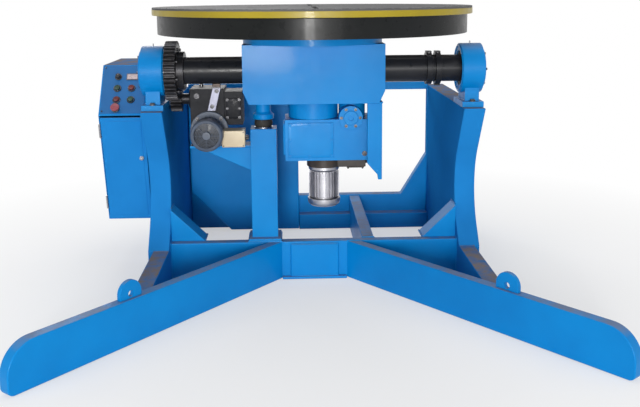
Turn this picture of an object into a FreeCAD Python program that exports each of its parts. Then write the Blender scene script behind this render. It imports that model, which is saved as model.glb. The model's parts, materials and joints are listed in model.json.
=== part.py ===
"""Welding positioner: a round work table on a tilting body between two cheek frames.

Millimetres, +Z up, -Y towards the operator. The origin is on the floor under the middle
of the machine's outline. Every driving size is a cell of the sheet "Sizes"; a piece is
placed and sized by expressions in those names. Y places are written from the tilt axis.
"""
import FreeCAD, Part
import math
import os
import re

import Sketcher
from FreeCAD import Placement, Rotation, Vector

DOC = FreeCAD.newDocument("welding_positioner")
SHEET = DOC.addObject("Spreadsheet::Sheet", "Sizes")

SIZES = [
    # the frame on the floor
    ("axis_y", 140.85, "tilt axis behind the middle of the outline"),
    ("beam_height", 175, "height of legs, front beam and ribs"),
    ("beam_width", 49, "width of legs and front beam"),
    ("front_y", -44, "front face of the front beam behind the tilt axis"),
    ("root_x", 148.8, "where a leg leaves the front beam"),
    ("leg_length", 1430, "leg along its front face"),
    ("leg_angle", 38.59, "leg from straight ahead, degrees"),
    ("leg_nose", 115, "rounding of a leg's upper nose"),
    ("leg_toe", 25, "rounding of a leg's lower nose"),
    ("rib_x", 252, "middle of a long rib"),
    ("rib_width", 57, "width of a long rib"),
    ("apex_half", 108, "half width of the apex plate"),
    ("apex_thick", 10, "apex plate"),
    ("apex_ledge", 20, "foot plate ahead of the front beam"),
    ("sheet_thick", 12, "welded plates of the frame"),
    ("lug_x", 729, "lifting lug from the middle"),
    ("lug_width", 104, "lifting lug along the leg"),
    ("lug_thick", 20, "lifting lug"),
    ("lug_rise", 71, "lifting lug above the leg"),
    ("lug_hole", 12, "radius of a lug's hole"),
    # the cheeks
    ("cheek_inner", 661, "inner face of a cheek from the middle"),
    ("cheek_width", 96, "width of a cheek"),
    ("cheek_top", "=tilt_height - pillow_rise", "top of a cheek"),
    ("pillow_rise", 168, "tilt axis above the top of a cheek"),
    ("cheek_nose", 146, "front corner of a cheek's top, ahead of the tilt axis"),
    ("cheek_back", 880, "back of the frame behind the tilt axis"),
    ("waist_y", 113, "corner of the waist behind the tilt axis"),
    ("waist_z", 410, "height of the waist"),
    ("waist_round", 300, "rounding of the waist"),
    ("shin_y", -92, "foot of the front plate behind the tilt axis"),
    ("shin_z", 155, "height where the toe begins"),
    ("rail_width", 74, "foot rail from the cheek to the leg"),
    ("rail_height", 155, "foot rail from the cheek to the leg"),
    # the frame at the back
    ("rear_y", 820, "front face of the rear frame behind the tilt axis"),
    ("rear_top", "=cheek_top + rear_step", "top of the rear frame"),
    ("rear_step", 19, "rear frame above the cheeks"),
    ("rear_bar", 42, "height of the rear frame's top bar"),
    ("rear_base", 180, "height of the rear frame's bottom bar"),
    ("window_left", 60.5, "left edge of the window, left of the middle"),
    ("brace_width", 142, "window's corner brace along the bottom"),
    ("brace_height", 232, "window's corner brace along the side"),
    ("sill_height", 84, "sill in front of the rear frame"),
    ("sill_depth", 60, "sill in front of the rear frame"),
    ("housing_left", 652, "left side of the rear housing from the middle"),
    ("housing_depth", 65, "rear housing"),
    ("housing_top", 770, "top of the rear housing"),
    ("housing_cut", 168, "rear housing's cut corner along the floor"),
    ("housing_nip", 45, "clipped corner of the housing"),
    ("housing_lift", 5, "housing above the floor"),
    ("housing_gap", 1, "housing beside the window"),
    ("gusset_width", 155, "front corner gusset along the beam"),
    ("gusset_height", 150, "front corner gusset up the cheek"),
    ("gusset_depth", 110, "sloping cover of the gusset from front to back"),
    # the stop under the tilting body
    ("post_left", 287, "left side of the stop post from the middle"),
    ("post_width", 119, "stop post, square"),
    ("post_front", -10, "front of the stop post behind the tilt axis"),
    ("post_lip", 15, "foot plate beyond the stop post"),
    ("post_top", "=body_bottom - post_room", "top of the stop post"),
    ("post_room", 133, "stop post below the tilting body"),
    ("post_wall", 6, "wall of the stop post"),
    ("post_foot", 15, "foot plate of the stop post"),
    ("buffer_radius", 42, "rubber buffer on the post"),
    ("buffer_height", 40, "rubber buffer on the post"),
    ("rest_radius", 48, "foot of the tilting body that rests on the buffer"),
    ("rest_gap", 0.4, "buffer to the rest foot when level"),
    # the tilt axis
    ("tilt_height", 965, "tilt axis above the floor"),
    ("shaft_radius", 60, "tilt shaft"),
    ("bearing_fit", 0.05, "running fit of the shaft in its bearings"),
    ("bearing_wall", 18, "bearing ring"),
    ("bearing_width", 70, "bearing ring"),
    ("pillow_radius", 111, "round head of a pillow block"),
    ("pillow_width", 96, "pillow block along the shaft"),
    ("pillow_foot", 25, "foot flange of a pillow block"),
    ("pillow_long", 200, "foot flange from front to back"),
    ("bolt_margin", 14, "middle of a foot bolt from the end of the foot"),
    ("shaft_recess", 8, "end of the shaft inside the pillow block"),
    ("cam_x", 509, "inner cam ring from the middle"),
    ("cam_step", 40, "from one cam ring to the next"),
    ("cam_width", 25, "cam ring"),
    ("cam_radius", 72, "cam ring"),
    ("cam_lobe", 6, "lobe beyond the cam ring"),
    ("clamp_width", 36, "clamp of a split cam ring"),
    ("lobe_width", 28, "lobe of a cam ring"),
    ("sensor_gap", 2, "cam lobe to the sensor's end"),
    ("sensor_radius", 9, "barrel of a tilt sensor"),
    ("sensor_length", 70, "barrel of a tilt sensor"),
    ("arm_reach", 15, "sensor bracket beyond the first cam"),
    ("arm_thick", 8, "sensor bracket"),
    ("arm_height", 50, "sensor bracket"),
    ("cap_radius", 92, "bearing cap"),
    ("cap_thick", 12, "bearing cap"),
    ("bolt_radius", 11, "hexagon heads of the frame, across corners / 2"),
    ("bolt_head", 10, "hexagon heads of the frame"),
    # the tilting body
    ("body_half", 308, "half width of the tilting body"),
    ("body_taper", 26, "how far the lower corners draw in"),
    ("body_depth", 340, "tilting body from front to back"),
    ("body_top", "=tilt_height + body_rise", "underside of the ring seat"),
    ("body_rise", 121, "ring seat above the tilt axis"),
    ("body_knee", "=body_bottom + body_chin", "height where the lower corners begin"),
    ("body_chin", 55, "drawn-in lower part of the tilting body"),
    ("body_bottom", "=tilt_height - body_drop", "bottom of the tilting body"),
    ("body_drop", 136, "bottom of the tilting body below the tilt axis"),
    ("body_wall", 16, "plates of the tilting body"),
    ("seat_lip", 2, "round seat beyond the sides of the body"),
    ("seat_radius", "=body_half + seat_lip", "round seat of the slewing ring"),
    ("seat_thick", 30, "round seat of the slewing ring"),
    ("seat_skin", 15, "ring seat above the round housing"),
    ("centre_radius", 112, "round housing in the middle of the body"),
    ("centre_bottom", "=drive_top + centre_gap", "bottom of the round housing"),
    ("centre_gap", 1, "round housing above the slewing gear unit"),
    ("centre_wall", 12, "wall of the round housing"),
    ("bracket_half", 298, "outer face of the drive bracket from the middle"),
    ("bracket_web", 18, "side plate of the drive bracket"),
    ("bracket_front", 150, "front of the drive bracket ahead of the axis"),
    ("bracket_flange", 65, "front flange of the drive bracket"),
    ("bracket_tip", "=drive_bottom - bracket_reach", "height of the bracket's pointed end"),
    ("bracket_reach", 80, "pointed end below the slewing gear unit"),
    ("bracket_slope", 74, "rise of the bracket's sloping lower edge"),
    # the tilt drive
    ("tilt_module", 7, "module of the tilt gears"),
    ("bull_teeth", 36, "teeth of the tilt gear"),
    ("pinion_teeth", 15, "teeth of the tilt pinion"),
    ("bull_left", 652, "outer face of the tilt gear from the middle"),
    ("bull_width", 50, "tilt gear"),
    ("pinion_back", 110, "tilt pinion behind the tilt axis"),
    ("collar_radius", 85, "hub collar of the tilt gear"),
    ("collar_width", 30, "hub collar of the tilt gear"),
    ("output_radius", 25, "output shaft of either gear unit"),
    ("pinion_reach", 40, "pinion shaft inside its gear unit"),
    ("shaft_room", 5, "room round or beyond a gear unit's shaft"),
    ("gear_left", 557, "left side of the tilt gear unit from the middle"),
    ("gear_width", 153, "tilt gear unit, main casing"),
    ("gear_front", 20, "front of the tilt gear unit behind the axis"),
    ("gear_depth", 180, "tilt gear unit from front to back"),
    ("gear_bottom", "=gear_top - gear_height", "bottom of the tilt gear unit"),
    ("gear_height", 263, "tilt gear unit, main casing"),
    ("gear_top", "=tilt_height - gear_drop", "top of the tilt gear unit"),
    ("gear_drop", 86, "tilt gear unit below the tilt axis"),
    ("stage_width", 83, "second stage of the tilt gear unit"),
    ("stage_bottom", "=gear_top - stage_height", "bottom of the second stage"),
    ("stage_height", 168, "second stage of the tilt gear unit"),
    ("stage_inset", 15, "second stage inside the main casing"),
    ("shelf_lip", 10, "shelf beyond the tilt gear unit"),
    ("shelf_drop", 120, "web under the shelf"),
    ("motor_x", 472, "tilt motor from the middle"),
    ("motor_z", "=gear_bottom + motor_rise", "tilt motor above the floor"),
    ("motor_rise", 75, "tilt motor above the bottom of its gear unit"),
    ("motor_radius", 72, "tilt motor"),
    ("motor_reach", 150, "front end of the tilt motor ahead of the axis"),
    ("cowl_length", 60, "fan cowl of the tilt motor"),
    ("cowl_lip", 8, "fan cowl beyond the motor's frame"),
    ("cowl_round", 14, "rounding of a fan cowl"),
    ("box_width", 100, "terminal box of the tilt motor"),
    ("box_depth", 90, "terminal box of the tilt motor"),
    ("box_height", 73, "terminal box of the tilt motor"),
    ("box_back", 5, "terminal box behind the tilt axis"),
    ("box_drop", 61.5, "terminal box below the middle of the motor"),
    ("brush_gap", 0.3, "earth brush to the tilt shaft"),
    ("earth_x", 434, "earth brush from the middle"),
    ("earth_lean", 26, "foot of the earth bar further out than its head"),
    ("earth_width", 36, "earth bar"),
    ("earth_block", 20, "earth brush below the tilt shaft"),
    ("earth_gap", 3, "earth bar above the flange of the tilt motor"),
    ("motor_lip", 15, "flange of the tilt motor beyond its frame"),
    # the table and its drive
    ("table_radius", 700, "work table"),
    ("hub_foot", "=body_top + seat_thick + ring_lift + slew_height", "top of the moving slewing ring"),
    ("table_top", "=hub_foot + hub_height + table_thick", "top of the work table"),
    ("hub_height", 38, "hub between the slewing ring and the table plate"),
    ("hub_inset", 2.5, "hub inside the slewing ring"),
    ("table_thick", 32, "table plate"),
    ("table_bore", 60, "centre bore of the table, radius"),
    ("slot_width", 22, "clamping slot"),
    ("slot_head", 38, "clamping slot, wider lower part"),
    ("slot_inner", 150, "clamping slot, inner end"),
    ("slot_outer", "=table_radius - slot_margin", "clamping slot, outer end"),
    ("slot_margin", 60, "clamping slot, outer end to the rim"),
    ("slot_count", 8, "clamping slots"),
    ("skirt_inset", 20, "skirt inside the table's rim"),
    ("skirt_wall", 12, "skirt of the table"),
    ("skirt_height", 81, "skirt of the table"),
    ("table_rib", 12, "radial ribs under the table"),
    ("ring_inset", 5, "fixed slewing ring inside its seat"),
    ("ring_radius", "=seat_radius - ring_inset", "fixed slewing ring"),
    ("ring_wall", 48, "fixed slewing ring"),
    ("ring_bore", "=ring_radius - ring_wall", "fixed slewing ring"),
    ("ring_height", 45, "fixed slewing ring"),
    ("ring_gap", 0.3, "between the two slewing rings"),
    ("ring_lift", 3, "moving ring above the seat"),
    ("slew_height", 57, "moving slewing ring"),
    ("slew_module", 7, "module of the slewing gears"),
    ("slew_teeth", 64, "teeth inside the slewing ring"),
    ("spur_teeth", 14, "teeth of the slewing pinion"),
    ("spur_height", 46, "slewing pinion"),
    ("spur_depth", 30, "pinion shaft inside the slewing gear unit"),
    ("spur_x", 175, "slewing pinion from the table's axis"),
    ("spur_hole", 62, "hole in the ring seat round the pinion"),
    ("drive_left", 128, "left side of the slewing gear unit from the middle"),
    ("drive_depth", 200, "slewing gear unit from front to back"),
    ("drive_bottom", "=drive_top - drive_height", "bottom of the slewing gear unit"),
    ("drive_height", 185, "slewing gear unit"),
    ("drive_top", "=body_bottom - neck_height", "top of the slewing gear unit"),
    ("neck_height", 79, "slewing gear unit below the tilting body"),
    ("neck_radius", 60, "neck between gear unit and body"),
    ("neck_flange", 2, "flange of the neck beyond the neck"),
    ("neck_collar", 12, "flange of the neck"),
    ("cover_x", 163, "round worm cover from the middle"),
    ("cover_rise", 8, "middle of the worm cover above the casing"),
    ("cover_radius", 53, "round worm cover"),
    ("cover_proud", 14, "worm cover ahead of the casing"),
    ("rotor_x", 46.7, "slewing motor from the middle"),
    ("rotor_radius", 74.5, "slewing motor"),
    ("rotor_top", "=drive_bottom - adapter_height", "top of the slewing motor"),
    ("adapter_height", 41, "adapter between gear unit and slewing motor"),
    ("adapter_reach", 235, "right end of the adapter from the middle"),
    ("adapter_depth", 100, "adapter from front to back"),
    ("adapter_lip", 3, "adapter beyond the slewing motor"),
    ("rotor_bottom", "=rotor_top - rotor_height", "bottom of the slewing motor's frame"),
    ("rotor_height", 149, "frame of the slewing motor"),
    ("dome_bottom", "=rotor_bottom - dome_height", "bottom of the slewing motor's fan cowl"),
    ("dome_height", 38, "fan cowl of the slewing motor"),
    ("dome_round", 20, "rounding of the slewing motor's cowl"),
    ("rotor_lip", 4, "fan cowl beyond the slewing motor's frame"),
    # the control cabinet
    ("cabinet_width", 209, "control cabinet"),
    ("cabinet_mouth", 60, "run of the door opening ahead of the case"),
    ("desk_inset", 6, "control panel inside the edges of the desk"),
    ("cabinet_back", 560, "back of the cabinet behind the tilt axis"),
    ("cabinet_drop", 707, "bottom of the cabinet below the tilt axis"),
    ("cabinet_bottom", "=tilt_height - cabinet_drop", "bottom of the cabinet"),
    ("cabinet_foot", 104, "front of the cabinet's bottom behind the axis"),
    ("belly_y", -8, "foremost edge of the cabinet behind the axis"),
    ("belly_rise", 512, "desk's lower edge above the cabinet's bottom"),
    ("belly_z", "=cabinet_bottom + belly_rise", "height of that edge"),
    ("desk_length", 263, "sloping control panel"),
    ("desk_angle", 53.3, "slope of the control panel, degrees"),
    ("cabinet_wall", 4, "sheet of the cabinet"),
    ("desk_thick", 3, "control panel plate"),
    ("door_gap", 0.4, "around the cabinet door"),
    ("door_thick", 4, "cabinet door"),
    ("door_low", 8, "door above the lower edge of the front"),
    ("door_high", 12, "door below the upper edge of the front"),
    ("latch_share", 0.6, "height of the latch up the front, as a share"),
    ("latch_inset", 30, "latch from the cabinet's inner side"),
    ("latch_radius", 10, "knob of the latch"),
    ("latch_length", 14, "knob of the latch"),
    ("hinge_radius", 5, "hinge barrel of the cabinet door"),
    ("hinge_inset", 1, "hinge barrel's axis inside the cabinet's side"),
    ("hinge_length", 60, "hinge barrel of the cabinet door"),
    ("hinge_low", 0.12, "lower hinge up the front, as a share"),
    ("hinge_high", 0.8, "upper hinge up the front, as a share"),
    ("button_radius", 13, "push-button cap"),
    ("button_rise", 8, "push-button cap above its bezel"),
    ("button_fit", 0.4, "cap inside its bezel"),
    ("bezel_radius", 18, "ring round a push button"),
    ("bezel_height", 5, "ring round a push button"),
    ("estop_radius", 20, "emergency stop"),
    ("estop_stem", 12, "stem of the emergency stop"),
    ("estop_cap", 10, "head of the emergency stop"),
    ("button_clear", 0.3, "under a knob that turns"),
    ("row_speed", 195, "speed knob and meter up the panel"),
    ("row_high", 135, "tilt buttons up the panel"),
    ("row_low", 75, "turn buttons up the panel"),
    ("row_stop", 26, "emergency stop up the panel"),
    ("column_left", 76, "left controls from the cabinet's outer side"),
    ("column_right", 140, "right controls from the cabinet's outer side"),
    ("knob_radius", 16, "speed knob"),
    ("knob_height", 18, "speed knob"),
    ("meter_width", 52, "speed meter"),
    ("meter_height", 32, "speed meter"),
    ("meter_depth", 6, "speed meter"),
]
for row, (alias, value, note) in enumerate(SIZES, start=1):
    SHEET.set(f"A{row}", note)
    SHEET.setAlias(f"B{row}", alias)
for row, (alias, value, note) in enumerate(SIZES, start=1):
    SHEET.set(f"B{row}", str(value))
DOC.recompute()
size = {alias: SHEET.get(alias) if isinstance(value, str) else value for alias, value, note in SIZES}

NODES = []
TIP, ROOT, THIN = 0.9, 1.2, 0.5  # tooth tip and root in modules, and the play between flanks in millimetres
ALONG = {"x": Rotation(Vector(0, 1, 0), 90), "y": Rotation(Vector(1, 0, 0), -90), "z": Rotation()}


# ---------------------------------------------------------------- helpers

def expr(words):
    """The same formula with each size's name sent to its cell in the sheet."""
    return re.sub(r"[a-z][a-z0-9_]*", lambda m: "Sizes." + m[0] if m[0] in size else m[0], str(words))


def place(piece, x, y, z, turn=None):
    """Put a piece at three formulas; y is counted from the tilt axis."""
    if turn is not None:
        piece.Placement = Placement(Vector(), turn)
    for axis, words in (("x", x), ("y", f"{y} + axis_y"), ("z", z)):
        piece.setExpression(f"Placement.Base.{axis}", expr(words))
    return piece


def box(name, x, y, z, length, width, height):
    """A block from its lowest corner."""
    piece = DOC.addObject("Part::Box", name)
    for prop, words in (("Length", length), ("Width", width), ("Height", height)):
        piece.setExpression(prop, expr(words))
    return place(piece, x, y, z)


def rod(name, axis, x, y, z, radius, length):
    """A cylinder that runs from its base point along an axis."""
    piece = DOC.addObject("Part::Cylinder", name)
    piece.setExpression("Radius", expr(radius))
    piece.setExpression("Height", expr(length))
    turn = ALONG[axis] if isinstance(axis, str) else axis
    return place(piece, x, y, z, turn)


def hexagon(name, axis, x, y, z, radius="bolt_radius", length="bolt_head"):
    """A hexagon head that stands along an axis."""
    piece = DOC.addObject("Part::Prism", name)
    piece.Polygon = 6
    piece.setExpression("Circumradius", expr(radius))
    piece.setExpression("Height", expr(length))
    turn = ALONG[axis] if isinstance(axis, str) else axis
    return place(piece, x, y, z, turn)


def fuse(name, *parts):
    piece = DOC.addObject("Part::MultiFuse", name)
    piece.Shapes = list(parts)
    piece.Refine = True
    return piece


def cut(name, base, *tools):
    piece = DOC.addObject("Part::Cut", name)
    piece.Base = base
    piece.Tool = tools[0] if len(tools) == 1 else fuse(name + "_tools", *tools)
    piece.Refine = True
    return piece


def group(name, parts):
    """Separate solids of one kind that share a node."""
    piece = DOC.addObject("Part::Compound", name)
    piece.Links = list(parts)
    return piece


def node(name, piece):
    """A finished sub-part; its label names its file."""
    piece.Label = name
    NODES.append((name, piece))
    return piece


def origin_plane(body, role):
    return next(f for f in body.Origin.OriginFeatures if f.Role == role)


def outline(body, plane, points):
    """A closed sketch whose corners are formulas across and up from the body's origin."""
    sketch = body.newObject("Sketcher::SketchObject", body.Name + "_outline")
    sketch.AttachmentSupport = [(origin_plane(body, plane), "")]
    sketch.MapMode = "FlatFace"
    count = len(points)
    start = [Vector(100, 0, 0)] * count
    start = [Rotation(Vector(0, 0, 1), 360 * i / count).multVec(v) for i, v in enumerate(start)]
    sketch.addGeometry([Part.LineSegment(start[i], start[(i + 1) % count]) for i in range(count)], False)
    rules = [Sketcher.Constraint("Coincident", i, 2, (i + 1) % count, 1) for i in range(count)]
    for i, corner in enumerate(start):
        rules.append(Sketcher.Constraint("DistanceX", -1, 1, i, 1, corner.x))
        rules.append(Sketcher.Constraint("DistanceY", -1, 1, i, 1, corner.y))
    sketch.addConstraint(rules)
    for i, (across, up) in enumerate(points):
        sketch.setExpression(f"Constraints[{count + 2 * i}]", expr(across))
        sketch.setExpression(f"Constraints[{count + 2 * i + 1}]", expr(up))
    return sketch


def plate(name, plane, points, thick, x="0", y="0", z="0"):
    """A plate cut to an outline: YZ plates grow along +X, XZ along -Y, XY along +Z."""
    body = DOC.addObject("PartDesign::Body", name)
    sketch = outline(body, plane + "_Plane", points)
    pad = body.newObject("PartDesign::Pad", name + "_pad")
    pad.Profile = sketch
    pad.setExpression("Length", expr(thick))
    place(body, x, y, z)
    DOC.recompute()
    return body


def round_edge(body, corner, radius):
    """Round the straight edges of a plate that pass through one corner of its outline."""
    sketch = body.Group[0]
    spot = sketch.Placement.multVec(sketch.Geometry[corner].StartPoint)
    normal = sketch.Placement.Rotation.multVec(Vector(0, 0, 1))
    tip = body.Tip
    names = []
    for number, edge in enumerate(tip.Shape.Edges, start=1):
        ends = [v.Point - spot for v in edge.Vertexes]
        if len(ends) == 2 and all((e - normal * e.dot(normal)).Length < 0.01 for e in ends):
            names.append(f"Edge{number}")
    fillet = body.newObject("PartDesign::Fillet", f"{body.Name}_round{corner}")
    fillet.Base = (tip, names)
    fillet.setExpression("Radius", expr(radius))
    DOC.recompute()
    return body


def turned(name, points, axis, x, y, z):
    """A turned piece: radius and height formulas, spun round an axis."""
    body = DOC.addObject("PartDesign::Body", name)
    sketch = outline(body, "XZ_Plane", points)
    spin = body.newObject("PartDesign::Revolution", name + "_turn")
    spin.Profile = sketch
    spin.ReferenceAxis = (sketch, ["V_Axis"])
    spin.Angle = 360
    turn = ALONG[axis] if isinstance(axis, str) else axis
    place(body, x, y, z, turn)
    return body


def tooth_ring(teeth, module, tip, root, thin, phase):
    """Corners of an involute gear's outline, drawn flank by flank."""
    pitch = teeth * module / 2
    pressure = math.radians(20)
    base = pitch * math.cos(pressure)

    def half_angle(radius):
        lean = math.acos(min(1, base / max(radius, base)))
        turn = math.tan(pressure) - pressure - math.tan(lean) + lean
        return math.pi / (2 * teeth) - thin / (2 * pitch) + turn

    low = max(root, base)
    radii = [root] + ([low] if low > root + 0.01 else []) + [(low + tip) / 2, tip]
    flank = [(radius, half_angle(radius)) for radius in radii]
    points = []
    for tooth in range(teeth):
        middle = phase + 2 * math.pi * tooth / teeth
        rise = [(radius, middle - half) for radius, half in flank]
        fall = [(radius, middle + half) for radius, half in reversed(flank)]
        points += [Vector(r * math.cos(a), r * math.sin(a), 0) for r, a in rise + fall]
    return points


def extruded(points, height):
    face = Part.Face(Part.makePolygon(points + points[:1]))
    return face.extrude(Vector(0, 0, height))


def shaped(name, shape, x, y, z, axis="z"):
    """A piece whose outline comes from a formula, such as a gear."""
    piece = DOC.addObject("Part::Feature", name)
    piece.Shape = shape
    return place(piece, x, y, z, ALONG[axis])


def low_x(side, near, length):
    """Lowest x of a stretch that starts `near` from the middle on one side."""
    return near if side > 0 else f"-({near}) - ({length})"


SIDES = (("left", -1), ("right", 1))


# ---------------------------------------------------------------- frame on the floor

def build_front_beam():
    beam = box("front_beam_block", "-cheek_inner", "front_y", "0",
               "2 * cheek_inner", "beam_width", "beam_height")
    node("front_beam", beam)


def build_leg(word, side):
    """A V leg: cut off along the front beam, square and rounded at its nose."""
    along = f"{side} * leg_length * sin(leg_angle)"
    ahead = "leg_length * cos(leg_angle)"
    points = [
        (f"{side} * root_x", "front_y"),
        (f"{side} * (root_x + beam_width / cos(leg_angle))", "front_y"),
        (f"{side} * (root_x + beam_width * cos(leg_angle)) + {along}",
         f"front_y + beam_width * sin(leg_angle) - {ahead}"),
        (f"{side} * root_x + {along}", f"front_y - {ahead}"),
    ]
    leg = plate(f"leg_{word}_body", "XY", points, "beam_height")
    for height, radius, mark in ((size["beam_height"], "leg_nose", "nose"), (0, "leg_toe", "toe")):
        tip = leg.Tip
        corners = [Vector(*v) for v in leg_nose_corners(side, height)]
        edges = [f"Edge{i}" for i, edge in enumerate(tip.Shape.Edges, start=1) if joins(edge, corners)]
        fillet = leg.newObject("PartDesign::Fillet", f"leg_{word}_{mark}")
        fillet.Base = (tip, edges)
        fillet.setExpression("Radius", expr(radius))
        DOC.recompute()
    node(f"leg_{word}", leg)


def leg_nose_corners(side, height):
    """The two ends of a leg's nose edge at one height."""
    lean = math.radians(size["leg_angle"])
    width, long = size["beam_width"], size["leg_length"]
    x = size["root_x"] + long * math.sin(lean)
    y = size["front_y"] - long * math.cos(lean)
    far = (x + width * math.cos(lean), y + width * math.sin(lean))
    return [(side * x, y, height), (side * far[0], far[1], height)]


def joins(edge, corners):
    """True for a straight edge that runs between two given points."""
    ends = [v.Point for v in edge.Vertexes]
    return len(ends) == 2 and all(min((e - c).Length for c in corners) < 0.01 for e in ends)


def build_ribs():
    """Long ribs from the front beam back; the right one steps over the sill."""
    start = "front_y + beam_width"
    left = box("rib_left_block", "-rib_x - rib_width / 2", start, "0",
               "rib_width", f"rear_y - housing_depth - ({start})", "beam_height")
    node("rib_left", left)
    points = [(start, "0"), ("rear_y - sill_depth", "0"), ("rear_y - sill_depth", "sill_height"),
              ("rear_y", "sill_height"), ("rear_y", "beam_height"), (start, "beam_height")]
    right = plate("rib_right_body", "YZ", points, "rib_width", x="rib_x - rib_width / 2")
    node("rib_right", right)


def build_apex():
    """Lighter face plate where the legs meet, on its own foot plate."""
    face = box("apex_face", "-apex_half", "front_y - apex_thick", "sheet_thick",
               "2 * apex_half", "apex_thick", "beam_height - 2 * sheet_thick")
    foot = box("apex_foot", "-root_x", "front_y - apex_ledge", "0", "2 * root_x", "apex_ledge", "sheet_thick")
    node("apex_plate", fuse("apex_weld", face, foot))


def build_lifting_lugs():
    """An ear with a lifting eye on top of each leg."""
    ears = []
    for word, side in SIDES:
        body = DOC.addObject("Part::Cylinder", f"lug_round_{word}")
        body.setExpression("Radius", expr("lug_width / 2"))
        body.setExpression("Height", expr("lug_thick"))
        body.Angle = 180
        block = DOC.addObject("Part::Box", f"lug_block_{word}")
        block.setExpression("Length", expr("lug_width"))
        block.setExpression("Width", expr("lug_rise - lug_width / 2"))
        block.setExpression("Height", expr("lug_thick"))
        block.setExpression("Placement.Base.x", expr("-lug_width / 2"))
        block.setExpression("Placement.Base.y", expr("lug_width / 2 - lug_rise"))
        eye = DOC.addObject("Part::Cylinder", f"lug_eye_{word}")
        eye.setExpression("Radius", expr("lug_hole"))
        eye.setExpression("Height", expr("lug_thick"))
        ear = cut(f"lug_{word}", fuse(f"lug_outline_{word}", body, block), eye)
        lean = -side * (90 - size["leg_angle"])
        turn = Rotation(Vector(0, 0, 1), lean) * Rotation(Vector(1, 0, 0), 90)
        back = "(lug_x - root_x) / tan(leg_angle)"
        middle = "(beam_width + lug_thick) / 2 / sin(leg_angle)"
        place(ear, f"{side} * lug_x", f"front_y - {back} + {middle}",
              "beam_height + lug_rise - lug_width / 2", turn)
        ears.append(ear)
    node("lifting_lugs", group("lug_pair", ears))


# ---------------------------------------------------------------- cheeks and rear frame

def build_cheek(word, side):
    """Hollow side frame with a waisted front edge, and its foot rail that meets the leg."""
    points = [("cheek_back", "0"), ("cheek_back", "cheek_top"), ("-cheek_nose", "cheek_top"),
              ("waist_y", "waist_z"), ("shin_y", "shin_z"), ("shin_y", "0")]
    x = low_x(side, "cheek_inner", "cheek_width")
    body = plate(f"cheek_{word}_body", "YZ", points, "cheek_width", x=x)
    round_edge(body, 3, "waist_round")
    inside = low_x(side, "cheek_inner + sheet_thick", "cheek_width - 2 * sheet_thick")
    wide = "cheek_width - 2 * sheet_thick"
    room = [("cheek_back - sheet_thick", "-1"), ("cheek_back - sheet_thick", "cheek_top - sheet_thick"),
            ("-cheek_nose + 2.2 * sheet_thick", "cheek_top - sheet_thick"),
            ("waist_y + 1.3 * sheet_thick", "waist_z"), ("shin_y + 1.3 * sheet_thick", "shin_z"),
            ("shin_y + 1.3 * sheet_thick", "-1")]
    hollow = plate(f"cheek_hollow_{word}", "YZ", room, wide, x=inside)
    round_edge(hollow, 3, "waist_round + sheet_thick")
    rail = plate(f"rail_{word}", "XY", rail_points(side, "0", "shin_y + sheet_thick"), "rail_height")
    duct = plate(f"rail_hollow_{word}", "XY", rail_points(side, "sheet_thick", "shin_y"),
                 "rail_height - sheet_thick + 1", z="-1")
    node(f"cheek_{word}", cut(f"cheek_{word}_hollow", fuse(f"cheek_{word}_weld", body, rail), duct, hollow))


def rail_points(side, wall, back):
    """Plan of a foot rail, from inside the cheek to the back of the leg, drawn in by a wall."""
    near = f"cheek_inner + {wall}"
    far = f"cheek_inner + rail_width - {wall}"
    root = "root_x + beam_width / cos(leg_angle)"
    front = [f"front_y + ({root} - ({x})) / tan(leg_angle) + {wall} / sin(leg_angle)" for x in (near, far)]
    return [(f"{side} * ({near})", back), (f"{side} * ({far})", back),
            (f"{side} * ({far})", front[1]), (f"{side} * ({near})", front[0])]


def build_rear_frame():
    """Frame plate with a window at the right, a corner brace and a sill."""
    block = box("rear_block", "-cheek_inner", "rear_y", "0",
                "2 * cheek_inner", "cheek_back - rear_y", "rear_top")
    points = [("-window_left", "rear_base"), ("cheek_inner - brace_width", "rear_base"),
              ("cheek_inner", "rear_base + brace_height"), ("cheek_inner", "rear_top - rear_bar"),
              ("-window_left", "rear_top - rear_bar")]
    window = plate("rear_window", "XZ", points, "cheek_back - rear_y + 2", y="cheek_back + 1")
    recess = box("rear_recess", "-cheek_inner + rear_bar", "rear_y + sheet_thick", "rear_base + rear_bar",
                 "cheek_inner - window_left - 2 * rear_bar", "cheek_back - rear_y",
                 "rear_top - rear_base - 3 * rear_bar")
    sill = box("rear_sill", "-window_left", "rear_y - sill_depth", "0",
               "cheek_inner + window_left", "sill_depth", "sill_height")
    frame = cut("rear_plate", block, window, recess)
    node("rear_frame", fuse("rear_weld", frame, sill))


def build_rear_housing():
    """Flat housing on the left of the rear frame, its lower corner cut away."""
    right = "-window_left - housing_gap"
    points = [(right, "housing_lift"), (right, "housing_top"),
              ("-housing_left", "housing_top"), ("-housing_left", "rear_base + housing_nip"),
              ("-housing_left + housing_nip", "rear_base"),
              ("-housing_left + housing_cut + housing_nip", "housing_lift")]
    body = plate("rear_housing_body", "XZ", points, "housing_depth", y="rear_y")
    node("rear_housing", body)


def build_gussets():
    """Triangles that tie the front beam to both cheeks, each with a sloping cover plate."""
    plates = []
    for word, side in SIDES:
        outer = f"{side} * cheek_inner"
        inner = f"{side} * (cheek_inner - gusset_width)"
        points = [(outer, "beam_height"), (outer, "beam_height + gusset_height"), (inner, "beam_height")]
        face = plate(f"gusset_{word}_face", "XZ", points, "sheet_thick", y="front_y + beam_width")
        slope = [(outer, "beam_height + gusset_height - 2 * sheet_thick"),
                 (outer, "beam_height + gusset_height"), (inner, "beam_height"),
                 (f"{inner} + {side} * 2.4 * sheet_thick", "beam_height")]
        cover = plate(f"gusset_{word}_cover", "XZ", slope, "gusset_depth",
                      y="front_y + beam_width + gusset_depth - sheet_thick")
        plates.append(fuse(f"gusset_{word}", face, cover))
    node("corner_gussets", group("gusset_pair", plates))


# ---------------------------------------------------------------- stop post

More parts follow.
